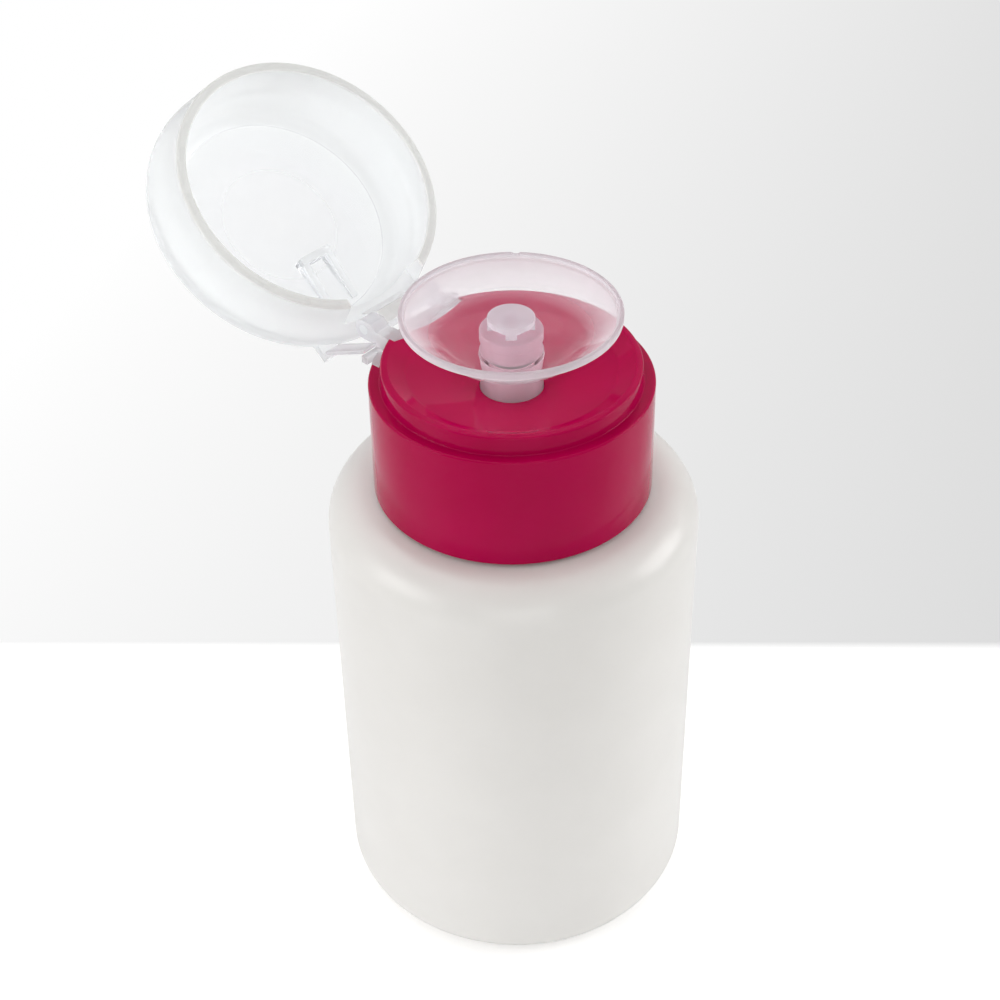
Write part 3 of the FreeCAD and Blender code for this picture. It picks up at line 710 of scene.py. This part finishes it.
BOTTLE_FINISH = milky_bottle()
CAP_FINISH = glossy_magenta()
LID_FINISH = clear_plastic(
    "lid_clear_plastic", tint=(0.97, 0.975, 0.98), rough=0.03, frosted=0.3,
    clouds=[(0.8, 0.81, 0.83, 0.05), (0.8, 0.81, 0.81, 0.5), (0.77, 0.77, 0.75, 0.97)],
    shade=(0.9, 0.91, 0.93))
# The dish's milk tints in its rim, boss and hub are painted pink: the magenta cap's light coming through
# them, painted in
DISH_FINISH = clear_plastic(
    "dish_clear_plastic", tint=(0.995, 0.99, 0.995), rough=0.01, frosted=0.4,
    clouds=[(0.95, 0.95, 1.0, 0.06), (0.68, 0.63, 0.66, 0.75), (0.68, 0.51, 0.57, 0.75)],
    shade=(0.92, 0.91, 0.92), ior=1.22)
HINGE_FINISH = clear_plastic(
    "hinge_clear_plastic", tint=(0.95, 0.96, 0.97), rough=0.14, frosted=0.2,
    clouds=[(0.76, 0.75, 0.76, 0.45), (0.76, 0.75, 0.76, 0.5)], shade=(0.87, 0.88, 0.9))
PUMP_FINISH = moulded_plastic(
    "pump_white_plastic", dark=(0.74, 0.74, 0.72), light=(0.8, 0.8, 0.78), low=0.3, high=0.42)[0]
SEAL_FINISH = moulded_plastic(
    "seal_soft_white", dark=(0.66, 0.66, 0.63), light=(0.72, 0.71, 0.69), low=0.5, high=0.62)[0]
STEEL_FINISH = bright_steel()
TUBE_FINISH = moulded_plastic(
    "tube_milky_plastic", dark=(0.68, 0.69, 0.68), light=(0.75, 0.76, 0.75), low=0.32, high=0.42)[0]

SLOT_FINISH = {
    "bottle_white": BOTTLE_FINISH,
    "cap_magenta": CAP_FINISH,
    "clear_plastic": DISH_FINISH,
    "pump_white": PUMP_FINISH,
    "soft_seal": SEAL_FINISH,
    "steel": STEEL_FINISH,
    "tube": TUBE_FINISH,
}


def dress(piece, finish, body, stands_for=None):
    """Give a new piece its finish and body, and the solid it replaces."""
    piece.data.materials.clear()
    piece.data.materials.append(finish)
    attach(piece, body)
    if stands_for:
        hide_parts(stands_for)


def cloud_up(piece, rule):
    """Write how milky each point is, 0 to 1, by a rule on its place in millimetres."""
    milk = piece.data.attributes.new("milk", "FLOAT", "POINT")
    for point, value in zip(piece.data.vertices, milk.data):
        value.value = rule(point.co / MM)


def away_from_axis(point):
    """Distance from the bottle's axis."""
    return math.hypot(point.x, point.y)


def dish_milk(point):
    """Milkiest in the thick boss and hub, less in the rim, clear between."""
    away = away_from_axis(point)
    if away < HUB_RADIUS + CLOSE:
        return 1.0
    return 0.5 if away > DISH_RADIUS - MILKY_RIM_WIDTH else 0.0


def lid_milk(point):
    """Greyest at the shut lid's rim, milky in the wall and frame, clear in the disc."""
    if point.z < LID_RIM + LID_RIM_ROUND + CLOSE:
        return 1.0
    in_disc = point.z > LID_CEILING - 2 * CLOSE and away_from_axis(point) < LID_DISC_RADIUS
    return 0.0 if in_disc else 0.5


# Pieces

def make_bottle():
    """The bottle's wall, closed below and open at the neck."""
    inside = BODY_RADIUS - BODY_WALL
    bore = NECK_RADIUS - NECK_WALL
    root = SHOULDER_HEIGHT + SHOULDER_RISE
    wall = turned("bottle_wall", [
        (0, 0, 0), (BODY_RADIUS, 0, BASE_ROUND), (BODY_RADIUS, SHOULDER_HEIGHT, SHOULDER_ROUND),
        (NECK_RADIUS, root, NECK_ROUND), (NECK_RADIUS, NECK_TOP, EDGE), (bore, NECK_TOP, EDGE),
        (bore, root - BODY_WALL, NECK_ROUND),
        (inside, SHOULDER_HEIGHT - BODY_WALL, SHOULDER_ROUND - BODY_WALL),
        (inside, BODY_WALL, BASE_ROUND - BODY_WALL), (0, BODY_WALL, 0)])
    dress(wall, BOTTLE_FINISH, "bottle", "bottle")


def make_threads():
    """The neck's thread and the cap's, half a pitch apart so that they mesh."""
    tree = thread_tree()
    neck = grown("neck_thread", tree, {
        "Radius": NECK_RADIUS, "Pitch": THREAD_PITCH, "Turns": THREAD_TURNS, "Start height": THREAD_START,
        "Ridge": THREAD_RIDGE}, BOTTLE_FINISH)
    dress(neck, BOTTLE_FINISH, "bottle")
    cap = grown("cap_thread", tree, {
        "Radius": CAP_BORE, "Pitch": THREAD_PITCH, "Turns": THREAD_TURNS,
        "Start height": THREAD_START + THREAD_PITCH / 2, "Ridge": THREAD_RIDGE}, CAP_FINISH)
    dress(cap, CAP_FINISH, "cap")


def make_cap():
    """The screw cap with its ledge, seat ring and funnel floor, and the pocket for the hinge."""
    cap = turned("cap_shell", [
        (HUB_HOLE, FLANGE_TOP, 0), (HUB_HOLE, FLOOR_TOP, FINE), (BOWL_RADIUS, BOWL_HEIGHT, BOWL_ROUND),
        (SEAT_INSIDE, SEAT_TOP, EDGE), (SEAT_EDGE, SEAT_TOP, EDGE), (SEAT_RADIUS, LEDGE, FINE),
        (CAP_TOP_RADIUS, LEDGE, EDGE), (CAP_RADIUS, CAP_BOTTOM, EDGE), (CAP_BORE, CAP_BOTTOM, EDGE),
        (CAP_BORE, CAP_CEILING, EDGE), (GASKET_SEAT, CAP_CEILING, FINE), (GASKET_SEAT, FLANGE_TOP, FINE),
        (COLLAR_OUTSIDE, FLANGE_TOP, 0), (COLLAR_OUTSIDE, FLOOR_UNDER_OUT, FINE),
        (COLLAR_INSIDE, FLOOR_UNDER_IN, FINE), (COLLAR_INSIDE, FLANGE_TOP, 0)])
    far = 2 * CAP_RADIUS
    seat = block("pocket", (-BLOCK_HALF - ROOM, BLOCK_HALF + ROOM), (BLOCK_FRONT - ROOM, far),
                 (BLOCK_FLOOR - ROOM, far + LEDGE))
    carve(cap, seat, "DIFFERENCE")
    plate = turned("pocket", [
        (INSERT_INSIDE - ROOM, INSERT_BOTTOM - ROOM, 0), (far, INSERT_BOTTOM - ROOM, 0),
        (far, LEDGE + PAST, 0), (INSERT_INSIDE - ROOM, LEDGE + PAST, 0)])
    reach = block("reach", (-INSERT_HALF - ROOM, INSERT_HALF + ROOM), (0, far), (0, 2 * LEDGE))
    carve(plate, reach, "INTERSECT")
    carve(cap, plate, "DIFFERENCE")
    dress(cap, CAP_FINISH, "cap", "screw_cap")


def make_hinge_base():
    """The clear insert: a plate in the cap's wall, a block, two eyed arms and two shelves."""
    base = turned("hinge_insert", [
        (INSERT_INSIDE, INSERT_BOTTOM, 0), (CAP_TOP_RADIUS, INSERT_BOTTOM, 0),
        (CAP_TOP_RADIUS, LEDGE, 0), (INSERT_INSIDE, LEDGE, 0)])
    carve(base, block("reach", (-INSERT_HALF, INSERT_HALF), (0, CAP_RADIUS), (0, 2 * LEDGE)), "INTERSECT")
    low = block("low", (-BLOCK_HALF, BLOCK_HALF), (BLOCK_FRONT, BLOCK_BACK), (BLOCK_FLOOR, LEDGE))
    carve(base, low, "UNION")
    foot = LEDGE - BLOCK_BITE
    high = turned("high", [
        (0, foot, 0), (SEAT_EDGE, foot, 0), (SEAT_EDGE, BLOCK_TOP, 0), (0, BLOCK_TOP, 0)])
    span = block("span", (-BLOCK_HALF, BLOCK_HALF), (BLOCK_FRONT, CAP_RADIUS), (0, 2 * LEDGE))
    carve(high, span, "INTERSECT")
    carve(base, high, "UNION")
    for side in (-1, 1):
        reach = sorted((side * ARM_INSIDE, side * ARM_OUTSIDE))
        arm = slab("arm", [
            (ARM_FRONT, BLOCK_FLOOR, 0), (INSERT_INSIDE, BLOCK_FLOOR, EDGE), (EYE_FRONT, EYE_UNDER, EDGE),
            (EYE_BACK, EYE_UNDER, EYE_RADIUS), (EYE_BACK, EYE_OVER, EYE_RADIUS),
            (EYE_FRONT, EYE_OVER, EDGE), (EYE_FRONT - ARM_SLOPE, BLOCK_TOP, EDGE),
            (ARM_FRONT, BLOCK_TOP, 0)], *reach)
        carve(base, arm, "UNION")
        reach = sorted((side * (BLOCK_HALF - BITE), side * STRAP_OUTSIDE))
        carve(base, block("shelf", reach, (SHELF_FRONT, SHELF_BACK), (BLOCK_FLOOR, LEDGE)), "UNION")
    bore = rod("bore", LID_HINGE, TRUNNION_RADIUS + BORE_ROOM, -2 * BLOCK_HALF, 2 * BLOCK_HALF)
    carve(base, bore, "DIFFERENCE")
    soften(base, INSERT_SOFT)
    dress(base, HINGE_FINISH, "cap", "hinge_base")


def make_lid():
    """The flared lid with its notch, knuckle, trunnions, strap lugs and inner frame, turned open."""
    near_inside = Vector((LID_RIM_INSIDE, LID_RIM)).lerp(Vector((LID_TOP_INSIDE, LID_CEILING)), RIM_FADE)
    near_outside = Vector((LID_RIM_RADIUS, LID_RIM)).lerp(Vector((LID_TOP_RADIUS, LID_TOP)), RIM_FADE)
    lid = turned("lid_shell", [
        (0, LID_CEILING, 0), (LID_TOP_INSIDE, LID_CEILING, LID_INSIDE_ROUND), (*near_inside, 0),
        (LID_RIM_INSIDE, LID_RIM, EDGE), (LID_RIM_RADIUS, LID_RIM, LID_RIM_ROUND), (*near_outside, 0),
        (LID_TOP_RADIUS, LID_TOP, LID_OUTSIDE_ROUND), (0, LID_TOP, 0)])
    notch = block("notch", (-NOTCH_HALF, NOTCH_HALF), (NOTCH_FRONT, 2 * LID_TOP_RADIUS),
                  (LID_RIM - PAST, NOTCH_TOP))
    carve(lid, notch, "DIFFERENCE")
    knuckle = slab("knuckle", [
        (EYE_FRONT, EYE_UNDER, EYE_RADIUS), (EYE_BACK, EYE_UNDER, EYE_RADIUS),
        (EYE_BACK, EYE_OVER, KNUCKLE_ROUND), (KNUCKLE_BACK, KNUCKLE_TOP, 0),
        (KNUCKLE_FRONT, KNUCKLE_TOP, 0), (KNUCKLE_FRONT, NOTCH_TOP, 0),
        (EYE_FRONT, KNUCKLE_CHIN, EDGE)], -KNUCKLE_HALF, KNUCKLE_HALF)
    carve(lid, knuckle, "UNION")
    carve(lid, rod("trunnion", LID_HINGE, TRUNNION_RADIUS, -ARM_OUTSIDE, ARM_OUTSIDE), "UNION")
    for side in (-1, 1):
        reach = sorted((side * STRAP_INSIDE, side * STRAP_OUTSIDE))
        carve(lid, block("lug", reach, (LUG_FRONT, LUG_BACK), (LUG_LOW, LUG_HIGH)), "UNION")
    root = LID_CEILING + BITE
    deep = LID_CEILING - FRAME_DEEP
    shallow = LID_CEILING - FRAME_SHALLOW
    across = (-FRAME_HALF, FRAME_HALF)
    carve(lid, block("rib", across, (FRAME_FRONT, FRAME_FRONT + FRAME_RIB), (deep, root)), "UNION")
    wedge = [
        (FRAME_FRONT, root, 0), (FRAME_FRONT, deep, 0), (FRAME_BACK, shallow, 0), (FRAME_BACK, root, 0)]
    for side in (-1, 1):
        reach = sorted((side * (FRAME_HALF - FRAME_RIB), side * FRAME_HALF))
        carve(lid, slab("rib", wedge, *reach), "UNION")
    cloud_up(lid, lid_milk)
    moved(lid, turn_about_x(LID_HINGE, -LID_OPEN))
    dress(lid, LID_FINISH, "lid", "flip_lid")


def make_straps():
    """The two flat straps between the insert and the open lid, with round ends."""
    way = STRAP_END - STRAP_ROOT
    half = STRAP_THICK / 2
    near = STRAP_ROOT.y - half
    far = near + way.length + STRAP_THICK
    under = STRAP_ROOT.z - half
    over = STRAP_ROOT.z + half
    outline = [(y, z, STRAP_ROUND) for y, z in ((near, under), (far, under), (far, over), (near, over))]
    for side, node in ((-1, "hinge_strap_left"), (1, "hinge_strap_right")):
        reach = sorted((side * STRAP_INSIDE, side * STRAP_OUTSIDE))
        strap = slab(node.replace("hinge_", "") + "_web", outline, *reach)
        moved(strap, turn_about_x(STRAP_ROOT, math.atan2(way.z, way.y)))
        soften(strap, STRAP_SOFT)
        dress(strap, HINGE_FINISH, "straps", node)


def make_dish():
    """The press dish with its boss above, its hub below and the gate mark on its rim."""
    rim_low = DISH_TOP - RIM_DEPTH
    rim_inside = Vector((DISH_RADIUS - RIM_WIDTH, DISH_TOP))
    below_rim = rim_inside.lerp(PAN_INSIDE, RIM_FADE)
    dish = turned("dish_bowl", [
        (OUTLET_RADIUS, STEM_TOP, 0), (OUTLET_RADIUS, BOSS_TOP, FINE), (HUB_RADIUS, BOSS_TOP, EDGE),
        (HUB_RADIUS, BOSS_UNDER, 0), (BOSS_GROOVE_RADIUS, BOSS_GROOVE_TOP, 0),
        (BOSS_GROOVE_RADIUS, BOSS_GROOVE_FLOOR, EDGE),
        (*PAN_INSIDE, DISH_ROUND), (*below_rim, 0), (*rim_inside, FINE), (DISH_RADIUS, DISH_TOP, FINE),
        (DISH_RADIUS, rim_low, EDGE), (RIM_NECK, rim_low, EDGE), (*PAN_OUTSIDE, DISH_ROUND),
        (HUB_RADIUS, PAN_UNDER, EDGE), (HUB_RADIUS, HUB_BOTTOM, EDGE), (STEM_RADIUS, HUB_BOTTOM, 0),
        (STEM_RADIUS, STEM_TOP, 0)])
    nick_place = Vector((0, 0, DISH_TOP + GATE_ROUND - GATE_NICK))
    nick = rod("nick", nick_place, GATE_ROUND, DISH_RADIUS - GATE_REACH, DISH_RADIUS + PAST)
    moved(nick, Matrix.Rotation(GATE_TURN, 4, "Z"))
    carve(dish, nick, "DIFFERENCE")
    cloud_up(dish, dish_milk)
    dress(dish, DISH_FINISH, "plunger", "press_dish")


def make_plug():
    """The outlet plug: a disc on four tabs over the boss, with a grooved shank below."""
    plug = turned("plug_disc", [
        (0, SHANK_BOTTOM, 0), (SHANK_RADIUS, SHANK_BOTTOM, FINE), (SHANK_RADIUS, PLUG_UNDER, 0),
        (PLUG_RADIUS, PLUG_UNDER, FINE), (PLUG_RADIUS, PLUG_TOP, FINE), (0, PLUG_TOP, 0)], PLUG_AROUND)
    tree = tab_tree()
    first = TAB_TURN - math.pi / 2
    tabs = grown("plug_tabs", tree, {
        "Count": TAB_COUNT, "Ring radius": PLUG_RADIUS - TAB_DEPTH / 2 - TAB_SET_IN, "Width": TAB_WIDTH,
        "Depth": TAB_DEPTH, "Height": TAB_HEIGHT, "Middle height": BOSS_TOP + TAB_HEIGHT / 2,
        "First turn": first}, DISH_FINISH)
    carve(plug, tabs, "UNION")
    grooves = grown("plug_grooves", tree, {
        "Count": TAB_COUNT, "Ring radius": OUTLET_RADIUS, "Width": PLUG_GROOVE_WIDTH,
        "Depth": PLUG_GROOVE_DEPTH, "Height": PLUG_GROOVE_HEIGHT, "Middle height": PLUG_GROOVE_MIDDLE,
        "First turn": first + math.pi / TAB_COUNT}, DISH_FINISH)
    carve(plug, grooves, "DIFFERENCE")
    soften(plug, PLUG_SOFT)
    cloud_up(plug, lambda point: PLUG_MILK)
    dress(plug, DISH_FINISH, "plunger", "outlet_plug")


def make_spring():
    """The return spring, wound to its length at rest."""
    free = SPRING_HIGH.z - SPRING_LOW.z
    spring = grown("return_coil", coil_tree(), {
        "Radius": SPRING_RADIUS, "Pitch": (free - 2 * SPRING_WIRE) / SPRING_TURNS, "Turns": SPRING_TURNS,
        "Start height": SPRING_LOW.z + SPRING_WIRE, "Wire radius": SPRING_WIRE}, STEEL_FINISH)
    dress(spring, STEEL_FINISH, "pump", "return_spring")
    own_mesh(spring)


def dress_solids():
    """Give the solids that stay their finishes."""
    for row in frame["record"]["subparts"]:
        solid = frame["nodes"][row["node"]]
        solid.data.materials.clear()
        solid.data.materials.append(SLOT_FINISH[row["material_slot"]])


dress_solids()
make_bottle()
make_cap()
make_threads()
make_dish()
make_plug()
make_lid()
make_hinge_base()
make_straps()
make_spring()


# Stage

# Half the floor's width in millimetres; the other lengths of the stage are in metres
FLOOR_HALF = 3000
# The floor's paleness near the bottle, and its painted shade away from it, along the way where it is
# painted darker
FLOOR_PALE = 0.93
FLOOR_PAINTED_SHADE = 0.48
PAINTED_SHADE_WAY = (0.93, 0.37, 0.0)
PAINTED_SHADE_LENGTH = 0.35
# Where the floor fades into the backdrop on all sides
FADE_START = 0.43
FADE_END = 0.7
# How bright the backdrop and the far floor look
BACKDROP = 0.88
# The backdrop's slanted shading behind the bottle
SLANT_WAY = (-0.393, 0.919, 0.0)
SLANT_START = -0.12
SLANT_END = 0.17
SLANT_GREY = 0.68
# How far behind the bottle's axis the floor gives way to the backdrop
BACKDROP_LINE = 0.051
BACKDROP_LINE_SOFT = 0.003
# How much brighter the floor looks than it is lit
FLOOR_LIFT = 0.27
# Turn of the camera about the bottle, and of the backdrop's edge, which is level in the picture
CAMERA_TURN = math.radians(-47.75)
BACKDROP_TURN = CAMERA_TURN - math.radians(1.5)
CAMERA_TILT = math.radians(38.27)
CAMERA_ROLL = math.radians(-1.009)
CAMERA_PLACE = Vector((-0.180776, -0.161299, 0.268959))
CAMERA_LENS = 68.66
CAMERA_SENSOR = 36
LAMP_TARGET = Vector((0, 0, 0.08))
# The sky's light at the lower and upper ends of the span where it changes
SKY_SPAN = (0.1, 0.8)
SKY_LIGHT = (0.24, 0.62)
WHITE = (1, 1, 1, 1)


def seen_directly(tree):
    """1 for rays that come from the eye, straight or through clear plastic."""
    ray = tree.nodes.new("ShaderNodeLightPath")
    return maths(tree, "MAXIMUM", ray.outputs["Is Camera Ray"], ray.outputs["Is Transmission Ray"])


def distance(tree, place, way):
    """How far a place lies along a way."""
    project = add(tree, "ShaderNodeVectorMath", {0: place}, {"operation": "DOT_PRODUCT", 1: way})
    return project.outputs["Value"]


def lit_floor(tree, shader, place, direct):
    """The floor as lit, with painted shade that darkens it to one side, and lifted towards white for the
    eye.
    """
    # Painted shade: the floor's colour darkens along one way, away from the bottle
    fade = spread(tree, distance(tree, place, PAINTED_SHADE_WAY), 0, PAINTED_SHADE_LENGTH, 0, 1)
    fade.interpolation_type = "SMOOTHSTEP"
    ramp = add(tree, "ShaderNodeValToRGB", {0: fade.outputs[0]})
    for end, level in zip(ramp.color_ramp.elements, (FLOOR_PALE, FLOOR_PAINTED_SHADE)):
        end.color = (level, level, level, 1)
    tree.links.new(ramp.outputs[0], shader.inputs["Base Color"])
    shader.inputs["Roughness"].default_value = 0.3
    shown = maths(tree, "MULTIPLY", direct, FLOOR_LIFT)
    lift = add(tree, "ShaderNodeEmission", {"Strength": shown}, {"Color": WHITE})
    return add(tree, "ShaderNodeAddShader", {0: shader.outputs[0], 1: lift.outputs[0]})


def add_floor():
    """A pale floor that stays white to the eye, keeps the shadow and fades into the backdrop."""
    shape = bmesh.new()
    bmesh.ops.create_grid(shape, x_segments=1, y_segments=1, size=FLOOR_HALF)
    floor = piece_from("floor", shape)
    finish, tree, shader, output = new_finish("floor_white")
    place = tree.nodes.new("ShaderNodeTexCoord").outputs["Object"]
    direct = seen_directly(tree)
    lit = lit_floor(tree, shader, place, direct)
    reach = add(tree, "ShaderNodeVectorMath", {0: place}, {"operation": "LENGTH"})
    far = spread(tree, reach.outputs["Value"], FADE_START, FADE_END, 0, 1)
    far.interpolation_type = "SMOOTHSTEP"
    ahead = (-math.sin(BACKDROP_TURN), math.cos(BACKDROP_TURN), 0.0)
    behind = distance(tree, place, ahead)
    edge = spread(tree, behind, BACKDROP_LINE - BACKDROP_LINE_SOFT, BACKDROP_LINE, 0, 1)
    grey = spread(tree, distance(tree, place, SLANT_WAY), SLANT_START, SLANT_END, SLANT_GREY, 1)
    level = add(tree, "ShaderNodeMix", {0: far.outputs[0], 2: grey.outputs[0]}, {3: BACKDROP})
    beyond = maths(tree, "MAXIMUM", far.outputs[0], edge.outputs[0])
    share = maths(tree, "MULTIPLY", direct, beyond)
    sky = add(tree, "ShaderNodeEmission", {"Strength": level.outputs[0]}, {"Color": WHITE})
    blend = add(tree, "ShaderNodeMixShader", {0: share, 1: lit.outputs[0], 2: sky.outputs[0]})
    tree.links.new(blend.outputs[0], output.inputs["Surface"])
    floor.data.materials.append(finish)


def add_lamp(name, place, size, watts):
    """A soft square lamp, itself unseen, that faces the bottle."""
    light = bpy.data.lights.new(name, "AREA")
    light.energy = watts
    light.size = size
    lamp = bpy.data.objects.new(name, light)
    bpy.context.collection.objects.link(lamp)
    lamp.visible_camera = False
    lamp.location = place
    lamp.rotation_euler = (LAMP_TARGET - Vector(place)).to_track_quat("-Z", "Y").to_euler()


def add_world():
    """Soft light from above, dimmer near the horizon, and pale to the eye."""
    world = bpy.data.worlds.new("studio")
    bpy.context.scene.world = world
    world.use_nodes = True
    tree = world.node_tree
    tree.nodes.clear()
    way = tree.nodes.new("ShaderNodeTexCoord")
    height = add(tree, "ShaderNodeSeparateXYZ", {0: way.outputs["Generated"]})
    level = spread(tree, height.outputs["Z"], *SKY_SPAN, *SKY_LIGHT)
    soft = add(tree, "ShaderNodeBackground", {"Strength": level.outputs[0]}, {"Color": WHITE})
    white = add(tree, "ShaderNodeBackground", {}, {"Color": WHITE, "Strength": BACKDROP})
    blend = add(tree, "ShaderNodeMixShader", {
        0: seen_directly(tree), 1: soft.outputs[0], 2: white.outputs[0]})
    output = tree.nodes.new("ShaderNodeOutputWorld")
    tree.links.new(blend.outputs[0], output.inputs[0])


def add_camera():
    """The photograph's view."""
    level = Vector((math.cos(CAMERA_TURN), math.sin(CAMERA_TURN), 0))
    toward = Vector((math.sin(CAMERA_TURN), -math.cos(CAMERA_TURN), 0))
    back = math.cos(CAMERA_TILT) * toward + Vector((0, 0, math.sin(CAMERA_TILT)))
    upright = back.cross(level)
    across = math.cos(CAMERA_ROLL) * level + math.sin(CAMERA_ROLL) * upright
    up = math.cos(CAMERA_ROLL) * upright - math.sin(CAMERA_ROLL) * level
    lens = bpy.data.cameras.new("camera")
    lens.lens = CAMERA_LENS
    lens.sensor_width = CAMERA_SENSOR
    lens.clip_start = 0.01
    camera = bpy.data.objects.new("camera", lens)
    bpy.context.collection.objects.link(camera)
    turned_to = Matrix((across, up, back)).transposed().to_4x4()
    camera.matrix_world = Matrix.Translation(CAMERA_PLACE) @ turned_to
    bpy.context.scene.camera = camera


add_floor()
add_world()
add_lamp("lamp_above", place=(0.1, 0.25, 0.75), size=0.6, watts=1.25)
add_lamp("lamp_front", place=(-0.5, -0.55, 0.28), size=0.5, watts=1.25)
add_lamp("lamp_left", place=(-0.6, 0.3, 0.3), size=0.4, watts=1.55)
add_lamp("lamp_right", place=(0.5, -0.45, 0.3), size=0.4, watts=1.9)
add_lamp("lamp_behind_left", place=(-0.2, 0.6, 0.2), size=0.8, watts=0.7)
add_lamp("lamp_behind_right", place=(0.62, 0.0, 0.2), size=0.8, watts=0.7)
add_camera()
bpy.context.scene.view_settings.view_transform = "Standard"
